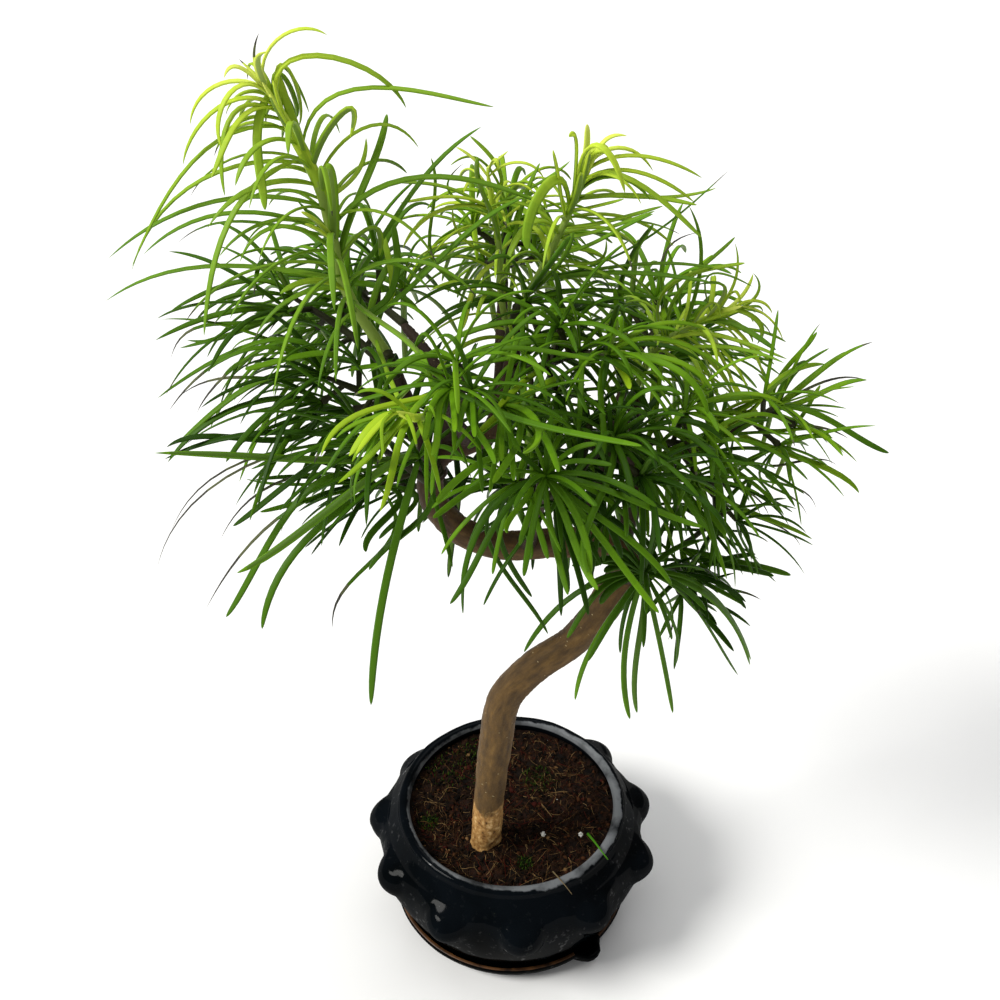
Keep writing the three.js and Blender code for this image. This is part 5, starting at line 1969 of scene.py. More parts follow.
MASSES: dict[str, Mass] = {
    "leader": Mass(
        ((-45, -18, 317), (-57, -18, 341), (-63, -14, 374), (-71, -11, 392), (-78, -9, 405)),
        Habit.SHOOT, count=54, length=58, tints=(3, 7.5), width=2.1, blunt=0.35,
        sweep=(-0.12, -0.05, 0), droop=0.75, reaches=LEADER, stout=1.1, hue=Hue.PALE,
    ),
    "top_right": Mass(
        ((2, 0, 327), (10, 3, 341), (19, 4, 362), (24, 4, 381)),
        Habit.SHOOT, count=40, length=42, tints=(1.5, 5.5), width=2.0, blunt=0.4, sweep=(0.15, 0, 0),
        droop=0.7, reaches=TOP_RIGHT, stout=0.7, hue=Hue.PALE,
    ),
    "top_centre": Mass(
        ((-0.5, -2.3, 309), (-5, 4, 327), (-6, 10, 345), (-10, 12, 372)),
        Habit.SHOOT, count=34, length=38, tints=(0, 4.5), width=1.7, blunt=0.4, reaches=TOP_CENTRE,
        stout=0.7, hue=Hue.PALE,
    ),
    "right_upper": Mass(
        ((46, 6, 290), (53, 12, 303), (70, 15, 313), (84, 15, 320)),
        Habit.SHOOT, count=38, length=42, tints=(1, 5), width=2.0, blunt=0.4, sweep=(0.1, 0, 0),
        droop=0.7, reaches=RIGHT_UPPER, stout=0.8, hue=Hue.PALE,
    ),
    "bright_front": Mass(
        ((-24, -60, 324), (-26, -78, 329), (-30, -92, 336), (-34, -102, 344)),
        Habit.SHOOT, count=14, length=28, tints=(3.5, 6.5), width=1.5, blunt=0.4,
        sweep=(-0.1, 0, -0.1), droop=0.8, reaches=BRIGHT_FRONT, stout=0.7,
    ),
    "left_front": Mass(
        ((-22, -44, 310), (-14, -56, 321), (-14, -68, 331)),
        Habit.SPRAY, count=3, length=38, tints=(7, 9), width=1.8, spots=(Spot((451, 388), -70),),
        reaches=LEFT_FRONT, crowded=12,
    ),
    "centre_front": Mass(
        ((9, -58, 290), (9, -64, 296), (9, -70, 301)),
        Habit.SPRAY, count=1, length=36, tints=(7.5, 9), width=1.9, blunt=0.9, reaches=CENTRE_FRONT,
        crowded=10,
    ),
    "low_front": Mass(
        ((47, -44, 240), (47, -48, 243), (46, -52, 247)),
        Habit.SPRAY, count=1, length=36, tints=(9, 10.5), width=2.1, blunt=0.9,
        spots=(Spot((672, 560), -34),), reaches=LOW_FRONT, crowded=10,
    ),
    "left_low": Mass(
        ((-31, -13, 258), (-40, -26, 276), (-48, -40, 294)),
        Habit.SPRAY, count=2, length=46, tints=(8.5, 11.5), width=2.1, blunt=0.6,
        sweep=(-0.6, 0.1, 0.4), droop=0.4, reaches=LEFT_LOW, crowded=10,
    ),
    "left_middle": Mass(
        ((-38, -15, 293), (-52, -20, 302), (-66, -22, 310)),
        Habit.SPRAY, count=4, length=54, tints=(8.5, 11.5), width=2.1, blunt=0.3,
        sweep=(-0.55, 0, 0.15), droop=0.65, reaches=LEFT_MIDDLE, crowded=10,
    ),
    "left_upper": Mass(
        ((-43, -17, 309), (-60, -4, 318), (-80, 6, 327)),
        Habit.SPRAY, count=5, length=52, tints=(6.5, 10), width=2.0, blunt=0.3,
        sweep=(-0.55, 0, 0.15), droop=0.65, reaches=LEFT_UPPER, crowded=10,
    ),
    "crown_middle": Mass(
        ((-2, -3, 301), (10, -14, 310), (22, -22, 320)),
        Habit.SPRAY, count=8, length=42, tints=(7.5, 10), width=2.3, blunt=0.7,
        spots=(Spot((608, 356), -28, 2.5), Spot((527, 302), -6, 0.5)), reaches=CROWN_MIDDLE,
        crowded=13,
    ),
    "centre_right": Mass(
        ((8, -38, 266), (20, -44, 284), (32, -50, 302)),
        Habit.SPRAY, count=9, length=40, tints=(9.5, 12), width=2.3, sweep=(0.2, 0, 0),
        reaches=CENTRE_RIGHT, crowded=16,
    ),
    "right_outer": Mass(
        ((86, 0, 276), (92, 0, 280), (98, 0, 285)),
        Habit.SPRAY, count=4, length=34, tints=(6, 9), width=1.8, blunt=0.4, sweep=(0.25, 0, 0.15),
        droop=0.35,
        spots=(Spot((735, 434), -4, 2.5), Spot((727, 409), -6, 4), Spot((713, 429), -14, 3.5)),
        reaches=RIGHT_OUTER, crowded=7,
    ),
    "right_middle": Mass(
        ((45, -2, 271), (56, -14, 278), (67, -26, 284)),
        Habit.SPRAY, count=9, length=40, tints=(6.5, 9.5), width=2.0, blunt=0.5, sweep=(0.25, 0, 0),
        reaches=RIGHT_MIDDLE, crowded=13,
    ),
    "right_low": Mass(
        ((64, -3, 267), (74, -14, 257), (84, -22, 248)),
        Habit.SPRAY, count=4, length=32, tints=(8, 10.5), width=1.9, blunt=0.3, sweep=(0.2, 0, 0.1),
        droop=0.5, spots=(Spot((680, 548), -16),), reaches=RIGHT_LOW, crowded=8,
    ),
    "low_right": Mass(
        ((41, -17.5, 215), (57, -20, 222), (70, -24, 226)),
        Habit.SPRAY, count=6, length=28, tints=(8.5, 11), width=2.5, blunt=0.5, sweep=(0.1, 0, 0.35),
        droop=0.4, crowded=11,
    ),
    "back_left": Mass(
        ((-44, 36, 302), (-54, 44, 306), (-66, 50, 308)),
        Habit.SPRAY, count=7, length=52, tints=(7.5, 10.5), sweep=(-0.3, 0.2, 0),
    ),
    "back_top": Mass(
        ((-4, 46, 314), (-4, 56, 321), (-3, 66, 328)),
        Habit.SPRAY, count=8, length=46, tints=(5, 8), sweep=(0, 0.3, -0.1), droop=0.8,
    ),
    "back_right": Mass(
        ((47, 42, 278), (54, 52, 284), (62, 60, 290)),
        Habit.SPRAY, count=8, length=50, tints=(6, 9), sweep=(0.3, 0.3, 0),
    ),
    "back_low": Mass(
        ((8, -11, 228), (8, 12, 240), (10, 36, 252)),
        Habit.SPRAY, count=5, length=46, tints=(10.5, 13), sweep=(0, 0.4, 0.3), droop=0.5,
    ),
    "back_low_left": Mass(
        ((-20, -12, 235), (-30, 10, 248), (-42, 28, 262)),
        Habit.SPRAY, count=5, length=46, tints=(10, 13), sweep=(-0.3, 0.4, 0.3), droop=0.5,
    ),
}


@dataclass
class Needle:
    """One needle: a bent line from root to tip, and how it is cut and tinted."""

    bends: Array
    width: float
    blunt: float
    tints: tuple[float, float]
    roll: float
    dry: float = 1.0


@dataclass
class Rosette:
    """The end of a spur: where it is, the way it faces, and how much fresher its needles are."""

    centre: Array
    axis: Array
    spur: Array | None = None
    fresher: float = 0.0


@dataclass
class Plan:
    """A mass as planned: its stem, rosettes and needles, and the heart of its space."""

    name: str
    mass: Mass
    draw: Seeded
    curve: Curve
    stem: Array
    rosettes: list[Rosette]
    heart: Array
    needles: list[Needle] = field(default_factory=list)


@dataclass
class Bundle:
    """Thin tubes that are gathered into one mesh."""

    sides: int
    places: list[Array] = field(default_factory=list)
    faces: list[Array] = field(default_factory=list)
    indices: list[Array] = field(default_factory=list)
    count: int = 0

    def add(self, line: Array, radii: Array, tones: Array) -> None:
        """Adds one tube.

        Args:
            line: Its centre line.
            radii: Its radius at each place of the line.
            tones: The material of each face of its wall. Its tip takes the last one.
        """
        places, faces = tubes(line[None], radii[None], self.sides)
        caps = (len(faces) - len(tones)) // 2
        self.places.append(places)
        self.faces.append(faces + self.count)
        self.indices.append(np.concatenate([tones, np.repeat([0, tones[-1]], caps)]))
        self.count += len(places)

    def mesh(self, name: str, materials: Sequence[bpy.types.Material]) -> bpy.types.Mesh:
        """Joins the tubes into one mesh."""
        indices = np.concatenate(self.indices)
        return mesh_of(name, np.vstack(self.places), np.vstack(self.faces), materials, indices)


class Clearances:
    """Keeps the straight pieces of all that has grown, so that new ones can keep clear."""

    PARALLEL = 1e-9

    def __init__(self) -> None:
        """Starts with nothing grown."""
        self.starts = np.zeros((0, 3))
        self.ends = np.zeros((0, 3))
        self.radii = np.zeros(0)
        self.owners: list[str] = []
        self.living = np.zeros(0, bool)

    def add(self, places: Array, radii: Sequence[float], owner: str, needle: bool) -> None:
        """Keeps the pieces of one bent line.

        Args:
            places: Its places, one per row.
            radii: The radius of each piece.
            owner: The mass or limb that it belongs to.
            needle: Whether it is a needle.
        """
        self.starts = np.vstack([self.starts, places[:-1]])
        self.ends = np.vstack([self.ends, places[1:]])
        self.radii = np.concatenate([self.radii, radii])
        self.owners += [owner] * (len(places) - 1)
        self.living = np.concatenate([self.living, np.full(len(places) - 1, needle)])

    def touched(self, places: Array, radii: Sequence[float], owner: str, gap: float) -> bool:
        """Tests a bent line against all that has grown.

        Args:
            places: Its places, one per row.
            radii: The radius of each piece.
            owner: The mass that it belongs to, whose own wood it may meet.
            gap: The clearance to keep.

        Returns:
            True where it comes too near something.
        """
        own = np.array([name == owner for name in self.owners]) & ~self.living
        for start, end, radius in zip(places, places[1:], radii):
            gaps = self.distances(start, end)
            if np.any((gaps < self.radii + radius + gap) & ~own):
                return True
        return False

    def distances(self, start: Array, end: Array) -> Array:
        """Measures one straight piece to each kept one.

        Args:
            start: Where the piece starts.
            end: Where it ends.

        Returns:
            The shortest distances.
        """
        line = end - start
        lines = self.ends - self.starts
        away = start - self.starts
        length = float(line @ line)
        lengths = np.einsum("ij,ij->i", lines, lines)
        shared = lines @ line
        ahead = away @ line
        aheads = np.einsum("ij,ij->i", lines, away)
        spread = length * lengths - shared * shared
        nearest = (shared * aheads - ahead * lengths) / np.maximum(spread, self.PARALLEL)
        here = np.where(spread > self.PARALLEL, np.clip(nearest, 0, 1), 0.0)
        there = (shared * here + aheads) / lengths
        beyond = (there < 0) | (there > 1)
        there = np.clip(there, 0, 1)
        here = np.where(beyond, np.clip((shared * there - ahead) / length, 0, 1), here)
        first = start + here[:, None] * line
        second = self.starts + there[:, None] * lines
        return np.linalg.norm(first - second, axis=1)


@dataclass
class Crown:
    """The masses of needles, grown by the source's rule and carried to finer twigs."""

    # Shares along a stem, with its girth there as a share of its own radius.
    SHOOT_GIRTH = ((0, 1.0), (0.5, 1.0), (0.8, 1.1), (0.92, 0.75), (1, 0.2))
    TWIG_GIRTH = ((0, 1.0), (0.7, 0.75), (1, 0.45))
    SPUR_GIRTH = ((0, 1.0), (0.75, 1.2), (0.92, 1.7), (1, 0.9))
    STEM_SIDES = 10
    STUB_RINGS = 24

    # The tints that a green shoot passes on its way to its tip, and the share where they start.
    FRESH_TIP = (4.5, 3, 1.5)
    FRESH_FROM = 0.65

    # The stretch of a stem that bears spurs or needles, and how a shoot's needles change along it:
    # the degrees that they stand off, their length and their bend, each from its foot to its tip.
    SPURS_ALONG = (0.3, 0.65)
    NEEDLES_ALONG = (0.03, 0.94)
    SHOOT_SPLAY = (78, 16)
    SHOOT_LENGTH = (1.05, 0.5)
    SHOOT_BEND = (1.0, 1.9)

    # A needle's three spans as shares of its length, how its last two bend down, and how strongly
    # its first one clings to the stem.
    SPANS = (0.32, 0.36, 0.34)
    SAGS = (0.55, 1.9)
    CLING = 0.25

    # The radii that needles and spurs keep clear: shares of a needle's width, and millimetres.
    READ_BULK = 0.35
    GROWN_BULK = (0.3, 0.3, 0.2)
    SPUR_BULK = 2.0
    SPUR_ROOM = 2.4

    # A needle's section, as shares of its half width across and of its thickness up: a shallow
    # groove above and a keel between two pale bands below.
    SECTION = np.array(
        [(-1, 0), (-0.55, 0.3), (0, 0.1), (0.55, 0.3), (1, 0), (0.6, -0.32), (0, -0.5), (-0.6, -0.32)]
    )
    BANDS = (5, 6)
    BAND_SPAN = (0.08, 0.95)
    SHARES = np.array(
        [0, 0.03, 0.07, 0.12, 0.18, 0.25, 0.32, 0.4, 0.48, 0.56]
        + [0.64, 0.72, 0.79, 0.855, 0.905, 0.945, 0.97, 0.988, 1.0]
    )

    # How a needle narrows towards its tip: two powers, each from a sharp one's to a blunt one's.
    TAPER_START = (2.4, 15.0)
    TAPER_END = (0.85, 0.5)
    THINNEST = 0.05
    THICKNESS = 0.62

    wood: Woodwork
    ramps: dict[Hue, Ramp]
    heart: Triple = (-2, -8, 285)
    stem_radius: float = 1.7
    spur_radius: float = 0.9
    spur_length: float = 8.0
    spur_splay: float = 1.2
    sunk: float = 2.0
    wood_step: float = 9.0
    clearance: float = 0.15
    # How much farther from its own mass's heart than from the next one's a tip may be.
    slack: float = 24.0
    tries: int = 5
    widest_splay: float = 105.0
    # How far past the solids' box a tip may reach.
    box_margin: float = 8.0
    # Pixels nearer than this to a read needle's root don't bend it.
    near_px: float = 14.0
    near_px_shoot: float = 5.0
    # How far a read needle is rolled about its length, in radians.
    turn: float = 0.4
    turn_shoot: float = 0.25
    grown: Clearances = field(default_factory=Clearances)

    def build(self, twig_bark: bpy.types.Material, green_bark: bpy.types.Material) -> None:
        """Grows and builds every mass.

        Args:
            twig_bark: The brown twigs' finish.
            green_bark: The green shoots' finish.
        """
        for name, limb in self.wood.limbs().items():
            curve = limb.curve
            count = max(3, round(curve.length / self.wood_step))
            radii = [limb.radius((index + 0.5) / count) for index in range(count)]
            self.grown.add(curve.spaced(count), radii, name, False)
        plans = [self.plan(name, mass) for name, mass in MASSES.items()]
        for plan in plans:
            self.grown.add(plan.stem, [self.stem_radius] * (len(plan.stem) - 1), plan.name, False)
        for plan in plans:
            self.keep_clear_spurs(plan)
        for plan in plans:
            self.reach(plan)
        for plan in plans:
            self.clothe(plan, plans)
        for plan in plans:
            self.publish_needles(plan)
        LOG.info("%d needles", sum(len(plan.needles) for plan in plans))
        self.publish_wood(plans, Habit.SPRAY, "twigs", twig_bark)
        self.publish_wood(plans, Habit.SHOOT, "green_shoots", green_bark)

    def plan(self, name: str, mass: Mass) -> Plan:
        """Lays out a mass's stem, spurs and rosettes.

        Args:
            name: The mass's name, which seeds its draws.
            mass: Its sizes.

        Returns:
            The plan, with no needles yet.
        """
        draw = Seeded(name)
        curve = Curve(mass.stem)
        stem = curve.spaced(8 if mass.habit is Habit.SHOOT else 4)
        rosettes: list[Rosette] = []
        if mass.habit is Habit.SPRAY:
            outward = unit(stem[-1] - np.array(self.heart, float))
            rosettes.append(Rosette(stem[-1], unit(curve.heading(1.0) + outward + UP)))
            first, over = self.SPURS_ALONG
            for index in range(mass.count):
                share = first + over * index / mass.count
                start = curve.at(share)
                turn = index * GOLDEN_ANGLE + draw()
                around = heading_around(curve.heading(share), turn, self.spur_splay)
                facing = unit(around + 0.5 * outward + 0.15 * UP)
                centre = start + around * self.spur_length * (1.1 + draw())
                rosettes.append(Rosette(centre, facing, np.array([start, centre])))
            for spot in mass.spots:
                centre = VIEW.unproject(spot.pixel, spot.depth)
                start = min(curve.spaced(20)[4:], key=lambda place: float(np.linalg.norm(place - centre)))
                facing = unit(unit(centre - start) + outward + 0.6 * UP)
                rosettes.append(Rosette(centre, facing, np.array([start, centre]), spot.fresher))
        heart = curve.at(0.6) if mass.habit is Habit.SHOOT else stem[-1]
        return Plan(name, mass, draw, curve, stem, rosettes, heart)

    def keep_clear_spurs(self, plan: Plan) -> None:
        """Drops the spurs that would touch other wood, and keeps the rest.

        Args:
            plan: The mass.
        """
        kept = []
        for rosette in plan.rosettes:
            if rosette.spur is not None:
                if self.grown.touched(rosette.spur, [self.SPUR_ROOM], plan.name, self.clearance):
                    continue
                self.grown.add(rosette.spur, [self.SPUR_BULK], plan.name, False)
            kept.append(rosette)
        plan.rosettes = kept

    def reach(self, plan: Plan) -> None:
        """Grows the long needles that show in the photo.

        Args:
            plan: The mass.
        """
        shoot = plan.mass.habit is Habit.SHOOT
        centres = [rosette.centre for rosette in plan.rosettes]
        places = plan.curve.spaced(40)[2:] if shoot else np.array(centres)
        seen = np.array([VIEW.project(place) for place in places])
        near = self.near_px_shoot if shoot else self.near_px
        turn = self.turn_shoot if shoot else self.turn
        for reach in plan.mass.reaches:
            path = np.array(reach.path, float)
            nearest = int(np.argmin(np.linalg.norm(seen - path[0], axis=1)))
            middle = path[1:-1] if shoot else path[:-1]
            middle = middle[np.linalg.norm(middle - seen[nearest], axis=1) > near]
            bends = self.through(places[nearest], seen[nearest], middle, path[-1], reach.depth)
            roll = reach.roll or math.copysign(turn, bends[0][0] - bends[3][0])
            plan.needles.append(Needle(bends, reach.width, reach.blunt, reach.tints, roll, reach.dry))
            self.grown.add(self.along(bends), [reach.width * self.READ_BULK] * 3, plan.name, True)

    def through(self, root: Array, seen_root: Array, middle: Array, seen_tip: Array, depth: float) -> Array:
        """Fits a needle's four bends to the pixels that it passes.

        Args:
            root: Where it starts.
            seen_root: The pixel of its start.
            middle: The pixels that it passes, one per row.
            seen_tip: The pixel of its tip.
            depth: The depth of its tip.

        Returns:
            The four bends.
        """
        tip = VIEW.unproject(tuple(seen_tip), depth)
        if len(middle) == 0:
            elbow = lerp(root, tip, 0.45) + UP * float(np.linalg.norm(tip - root)) * 0.16
            return self.cubic(root, elbow, tip)
        trail = np.vstack([seen_root, middle, seen_tip])
        gone = np.concatenate([[0.0], np.cumsum(np.linalg.norm(np.diff(trail, axis=0), axis=1))])
        t = gone[1:-1] / gone[-1]
        places = np.array([VIEW.unproject(tuple(p), lerp(root[1], depth, s)) for p, s in zip(middle, t)])
        t = t[:, None]
        u = 1 - t
        known = places - u**3 * root - t**3 * tip
        chord = tip - root
        stiff = 0.08
        matrix = np.vstack([np.hstack([3 * u * u * t, 3 * u * t * t]), [[stiff, 0], [0, stiff]]])
        aims = np.vstack([known, stiff * (root + chord / 3), stiff * (root + chord * 2 / 3)])
        first, second = np.linalg.lstsq(matrix, aims, rcond=None)[0]
        return np.array([root, first, second, tip])

    @staticmethod
    def cubic(root: Array, elbow: Array, tip: Array) -> Array:
        """Returns the four bends of a needle that aims for an elbow."""
        return np.array([root, root + (elbow - root) * 2 / 3, tip + (elbow - tip) * 2 / 3, tip])

    @staticmethod
    def along(bends: Array, shares: Sequence[float] = (0.12, 0.4, 0.7, 1.0)) -> Array:
        """Finds places along a needle.

        Args:
            bends: The needle's four bends.
            shares: How far along each place is.

        Returns:
            The places, one per row.
        """
        t = np.array(shares)[:, None]
        u = 1 - t
        return u**3 * bends[0] + 3 * u * u * t * bends[1] + 3 * u * t * t * bends[2] + t**3 * bends[3]

    def clothe(self, plan: Plan, plans: Sequence[Plan]) -> None:
        """Grows a mass's own needles by the source's rule.

        Args:
            plan: The mass.
            plans: All the masses, whose hearts share out the space.
        """
        mass, draw = plan.mass, plan.draw
        others = np.array([other.heart for other in plans if other.name != plan.name])
        if mass.habit is Habit.SHOOT:
            first, over = self.NEEDLES_ALONG
            for index in range(mass.count):
                share = first + over * (index + 0.5) / mass.count
                axis = plan.curve.heading(share)
                splay = math.radians(lerp(*self.SHOOT_SPLAY, share**3))
                heading = heading_around(axis, index * GOLDEN_ANGLE, splay)
                long = mass.length * lerp(*self.SHOOT_LENGTH, share**3) * draw.between(0.75, 1.15)
                bend = mass.droop * lerp(*self.SHOOT_BEND, share**2) * draw.between(0.6, 1.4)
                base = lerp(mass.tints[1], mass.tints[0], share**2)
                tints = (base + draw.between(-0.8, 0.6), base + 1.2 + draw.between(-0.5, 0.8))
                self.grow(plan, others, plan.curve.at(share), heading, long, bend, tints, axis)
        for rosette in plan.rosettes:
            widest = 1 - math.cos(math.radians(self.widest_splay))
            tint = draw.between(*mass.tints) - rosette.fresher
            for index in range(mass.crowded):
                splay = math.acos(1 - widest * ((index + 0.5) / mass.crowded))
                heading = heading_around(rosette.axis, index * GOLDEN_ANGLE + draw() * 0.3, splay)
                long = mass.length * draw.between(0.68, 1.1)
                bend = mass.droop * draw.between(0.5, 1.5)
                tints = (tint + draw.between(-0.6, 0.8), tint + draw.between(-0.8, 0.8))
                self.grow(plan, others, rosette.centre, heading, long, bend, tints, rosette.axis)

    def grow(
        self,
        plan: Plan,
        others: Array,
        root: Array,
        heading: Array,
        long: float,
        bend: float,
        tints: tuple[float, float],
        axis: Array,
    ) -> None:
        """Tries a needle as wished, then shorter and turned a little, and skips it if nothing fits.

        Args:
            plan: The mass that it grows on.
            others: The hearts of the other masses.
            root: Where it starts.
            heading: Which way it starts.
            long: Its length.
            bend: How strongly it bends down towards its tip.
            tints: Its tint at the root and at the tip.
            axis: The way its stem runs, which it clings to at its root.
        """
        draw = plan.draw
        low, high = (np.array(corner) / MM for corner in CAD_BOX)
        low, high = low - self.box_margin, high + self.box_margin
        for attempt in range(self.tries):
            wobble = np.array([draw() - 0.5, draw() - 0.5, draw() - 0.5])
            way = unit(heading + wobble * (0.12 + 0.2 * attempt) + np.array(plan.mass.sweep))
            length = long * (1 - 0.05 * attempt)
            first = root + unit(way + axis * self.CLING) * length * self.SPANS[0]
            second = first + unit(way - UP * bend * self.SAGS[0]) * length * self.SPANS[1]
            tip = second + unit(way - UP * bend * self.SAGS[1]) * length * self.SPANS[2]
            bends = np.array([root, first, second, tip])
            own = np.linalg.norm(plan.heart - tip)
            if own > np.min(np.linalg.norm(others - tip, axis=1)) + self.slack:
                continue
            if np.any(tip < low) or np.any(tip > high):
                continue
            width = plan.mass.width * draw.between(0.8, 1.15)
            line = self.along(bends)
            bulk = [width * share for share in self.GROWN_BULK]
            if self.grown.touched(line, bulk, plan.name, self.clearance):
                continue
            blunt = min(1.0, max(0.0, plan.mass.blunt + draw.between(-0.3, 0.2)))
            dry = draw.between(0.88, 0.98) if blunt < 0.3 and draw() < 0.6 else 1.0
            plan.needles.append(Needle(bends, width, blunt, tints, draw.between(-0.5, 0.5), dry))
            self.grown.add(line, [width * self.GROWN_BULK[0]] * 3, plan.name, True)
            return

    def publish_needles(self, plan: Plan) -> None:
        """Builds one mass's needles as one joined mesh of plain tints.

        Args:
            plan: The mass.
        """
        needles = plan.needles
        lines = np.array([self.along(needle.bends, self.SHARES) for needle in needles])
        tangents = unit(np.gradient(lines, axis=1))
        chord = unit(lines[:, -1] - lines[:, 0])
        flat = np.cross(chord, UP)
        flat = np.where(np.linalg.norm(flat, axis=1, keepdims=True) < 0.15, [[1.0, 0.0, 0.0]], flat)
        side = np.repeat(unit(flat)[:, None], len(self.SHARES), axis=1)
        side = unit(side - tangents * np.sum(side * tangents, axis=-1, keepdims=True))
        ridge = np.cross(side, tangents)
        rolls = np.array([needle.roll for needle in needles])[:, None, None]
        across = side * np.cos(rolls) + ridge * np.sin(rolls)
        above = ridge * np.cos(rolls) - side * np.sin(rolls)
        widths = np.array([needle.width for needle in needles])[:, None]
        blunt = np.array([needle.blunt for needle in needles])[:, None]
        s = self.SHARES[None]
        taper = (1 - s ** lerp(*self.TAPER_START, blunt)) ** lerp(*self.TAPER_END, blunt)
        profile = widths / 2 * np.minimum(1.0, 0.6 + s * 2.6) * np.maximum(taper, self.THINNEST)
        thick = profile * self.THICKNESS
        places = (
            lines[:, :, None]
            + across[:, :, None] * (self.SECTION[:, 0, None] * profile[:, :, None, None])
            + above[:, :, None] * (self.SECTION[:, 1, None] * thick[:, :, None, None] * 2)
        )
        rings, sides = len(self.SHARES), len(self.SECTION)
        faces = ring_faces(len(needles), rings, sides)
        ramp = self.ramps[plan.mass.hue]
        indices = np.array([self.tint_faces(needle, ramp, rings, sides) for needle in needles]).ravel()
        name = "needles_" + plan.name
        mesh = mesh_of(name, places.reshape(-1, 3), faces, ramp.materials, indices)
        publish(mesh, [plan.name])

    def tint_faces(self, needle: Needle, ramp: Ramp, rings: int, sides: int) -> Array:
        """Deals a needle's tints out from root to tip, with pale bands below and a dry tip.

        Args:
            needle: The needle.
            ramp: The tints.
            rings: How many rings it has.
            sides: How many sides it has.

        Returns:
            The material index of each of its faces.
        """
        middles = (self.SHARES[1:] + self.SHARES[:-1]) / 2
        spans = np.repeat(middles, sides)
        tint = ramp.level(lerp(needle.tints[0], needle.tints[1], spans))
        facet = np.tile(np.arange(sides), rings - 1)
        first, last = self.BAND_SPAN
        tint[np.isin(facet, self.BANDS) & (spans > first) & (spans < last)] = ramp.band(needle.tints[0])
        tint[spans > needle.dry] = ramp.dry
        tint[spans > lerp(needle.dry, 1.0, 0.4)] = ramp.dry + 1 if needle.dry < 1 else tint[-1]
        caps = sides // 2 - 1
        return np.concatenate([tint, np.full(caps, tint[0]), np.full(caps, tint[-1])])

    def publish_wood(
        self, plans: Sequence[Plan], habit: Habit, name: str, finish: bpy.types.Material
    ) -> None:
        """Builds the stems and spurs of all the masses of one habit as one joined mesh.

        Args:
            plans: All the masses.
            habit: The habit to build.
            name: The piece's name.
            finish: Its bark.
        """
        green = habit is Habit.SHOOT
        bundle = Bundle(self.STEM_SIDES)
        if not green:
            for stub in STUBS:
                self.add_stub(bundle, *stub)
        for plan in plans:
            if plan.mass.habit is habit:
                self.add_stem(bundle, plan)
        ramp = self.ramps[Hue.PALE]
        fresh = [ramp.materials[int(ramp.level(np.array(tint)))] for tint in self.FRESH_TIP]
        publish(bundle.mesh(name, [finish, *fresh]))

    def add_stub(self, bundle: Bundle, foot: Pixel, end: Pixel, depth: float, radius: float) -> None:
        """Adds a knobbly broken stub.

        Args:
            bundle: Where it is gathered.
            foot: The pixel of its foot.
            end: The pixel of its end.
            depth: The depth of its end.
            radius: Its radius.
        """
        rings = np.arange(self.STUB_RINGS)
        line = np.linspace(VIEW.unproject(foot, depth + 3), VIEW.unproject(end, depth), len(rings))
        knobs = 1 + 0.16 * np.sin(rings * 1.7) + 0.1 * np.sin(rings * 0.9 + radius)
        bundle.add(line, radius * knobs, np.zeros((len(rings) - 1) * self.STEM_SIDES, int))

    def add_stem(self, bundle: Bundle, plan: Plan) -> None:
        """Adds a mass's stem and spurs. A green shoot turns fresh towards its tip.

        Args:
            bundle: Where they are gathered.
            plan: The mass.
        """
        green = plan.mass.habit is Habit.SHOOT
        line = plan.curve.spaced(60)
        line[0] -= plan.curve.heading(0.0) * self.sunk
        girth = self.SHOOT_GIRTH if green else self.TWIG_GIRTH
        runs = [(line, self.stem_radius * plan.mass.stout, girth)]
        for rosette in plan.rosettes:
            if rosette.spur is not None:
                runs.append((Curve([*rosette.spur]).spaced(24), self.spur_radius, self.SPUR_GIRTH))
        for run, radius, girths in runs:
            shares = np.linspace(0, 1, len(run))
            length = np.linalg.norm(run[-1] - run[0])
            ripple = 0.12 * np.sin(shares * length * (1.1 if green else 3.2)) ** 2
            radii = radius * np.interp(shares, *zip(*girths)) + ripple * (1 - shares)
            ring = (shares[1:] - self.FRESH_FROM) * len(self.FRESH_TIP) / (1 - self.FRESH_FROM)
            ragged = ring[:, None] + 0.5 * np.sin(2.4 * np.arange(self.STEM_SIDES))
            tone = np.floor(np.clip(ragged, -1, len(self.FRESH_TIP) - 1)).astype(int) + 1
            bundle.add(run, radii, tone.ravel() * green)


# The studio


@dataclass(frozen=True)
class SoftLight:
    """One wide and even light from far away, aimed at the tree."""

    name: str
    place: Triple
    spread: float
    power: float
    tone: Triple = (1.0, 1.0, 1.0)

    def add(self, aim: Vector) -> None:
        """Adds the light.

        Args:
            aim: Where it points.
        """
        lamp = bpy.data.lights.new(self.name, "SUN")
        lamp.angle = math.radians(self.spread)
        lamp.energy = self.power
        lamp.color = self.tone
        holder = bpy.data.objects.new(self.name, lamp)
        holder.location = self.place
        holder.rotation_euler = (aim - Vector(self.place)).to_track_quat("-Z", "Y").to_euler()
        bpy.context.scene.collection.objects.link(holder)


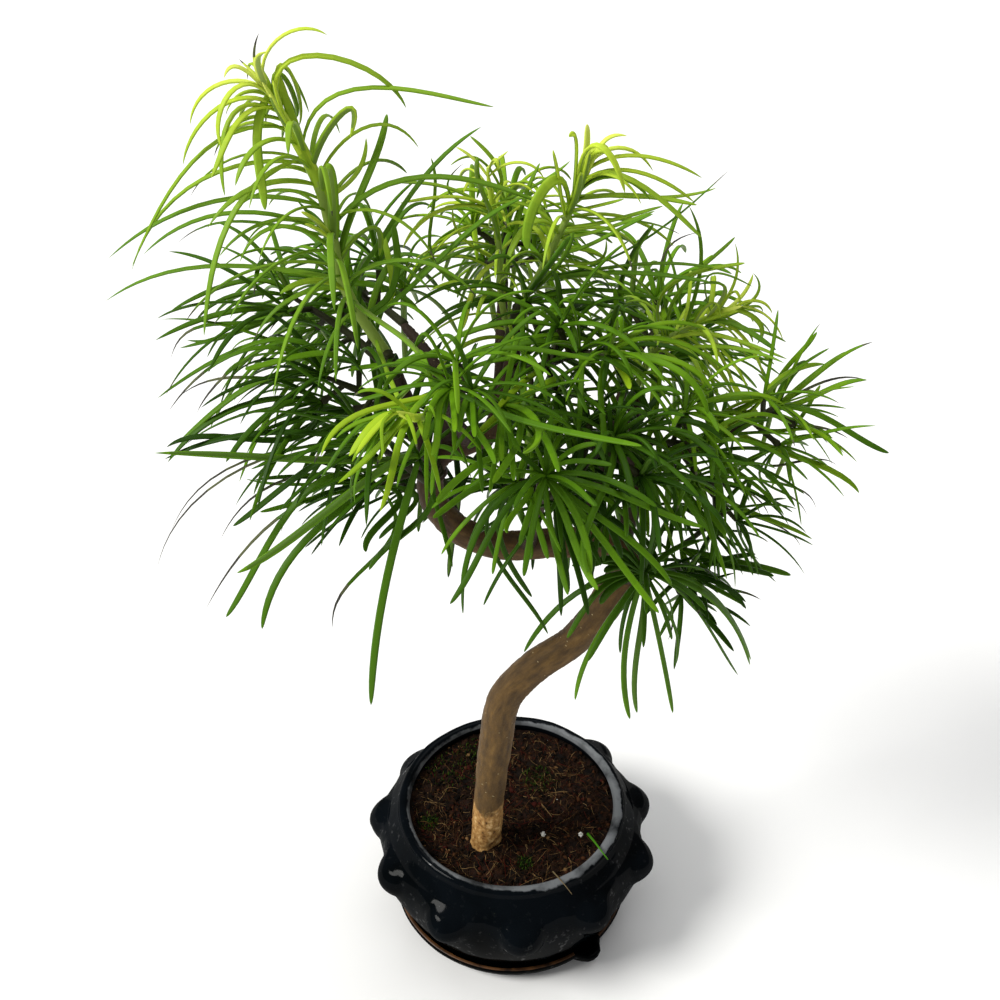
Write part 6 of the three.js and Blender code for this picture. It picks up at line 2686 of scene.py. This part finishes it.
@dataclass
class Studio:
    """A pale floor, soft lights and a pale surround."""

    floor_radius: float = 6.0
    floor_segments: int = 96
    surround: float = 0.3
    aim: Triple = (0, 0, 0.2)
    lights: tuple[SoftLight, ...] = (
        SoftLight("key_light", (-1.3, -0.35, 1.35), 24.0, 3.1, (1.0, 0.99, 0.95)),
        SoftLight("top_light", (0.1, 0.35, 1.8), 50.0, 1.25),
    )

    def build(self) -> None:
        """Builds the floor, the lights and the surround."""
        shape = bmesh.new()
        radius = self.floor_radius / MM
        bmesh.ops.create_circle(shape, cap_ends=True, segments=self.floor_segments, radius=radius)
        mesh = mesh_from("floor", shape, [FloorFinish().material()])
        floor = bpy.data.objects.new("floor", mesh)
        bpy.context.scene.collection.objects.link(floor)
        for light in self.lights:
            light.add(Vector(self.aim))
        world = bpy.data.worlds.new("surround")
        world.use_nodes = True
        backdrop = world.node_tree.nodes["Background"]
        backdrop.inputs["Color"].default_value = (1.0, 1.0, 1.0, 1.0)
        backdrop.inputs["Strength"].default_value = self.surround
        bpy.context.scene.world = world
        bpy.context.scene.view_settings.view_transform = "Standard"


TRUNK_TONES = ((0.3, "3e2d17"), (0.46, "564020"), (0.6, "674d26"), (0.76, "7e6032"))
BOUGH_TONES = ((0.3, "1a140a"), (0.48, "2a2110"), (0.62, "3a2f18"), (0.76, "4f4124"))
TWIG_TONES = ((0.3, "1b2109"), (0.5, "2b3510"), (0.66, "3f4c19"), (0.8, "586628"))
SHOOT_TONES = ((0.3, "7c9a3a"), (0.46, "92ab48"), (0.6, "a6bc5a"), (0.74, "bacb78"))


def main() -> None:
    """Builds the bonsai from the table up."""
    VIEW.add()
    Studio().build()
    Saucer().build(GlazeFinish("saucer_glaze", worn_above=1.0).material(), RimFinish().material())
    Pot().build(GlazeFinish().material())
    Soil().build(SoilFinish().material())
    trunk_bark = BarkFinish("trunk_bark", TRUNK_TONES).material()
    wood = Woodwork()
    wood.build(trunk_bark, BarkFinish("bough_bark", BOUGH_TONES).material())
    # Twigs take less of the painted shade, and green shoots take none.
    twigs = BarkFinish("twig_bark", TWIG_TONES, cork_top=0.0, deepest_shade=0.3).material()
    shoots = BarkFinish("shoot_bark", SHOOT_TONES, pore="d5e2a8", cork_top=0.0, deepest_shade=0.0).material()
    ramps = {Hue.DEEP: Ramp("deep", DEEP_STOPS), Hue.PALE: Ramp("pale", PALE_STOPS)}
    Crown(wood, ramps).build(twigs, shoots)


if __name__ == "__main__":
    logging.basicConfig(level=logging.INFO, format="%(message)s")
    main()
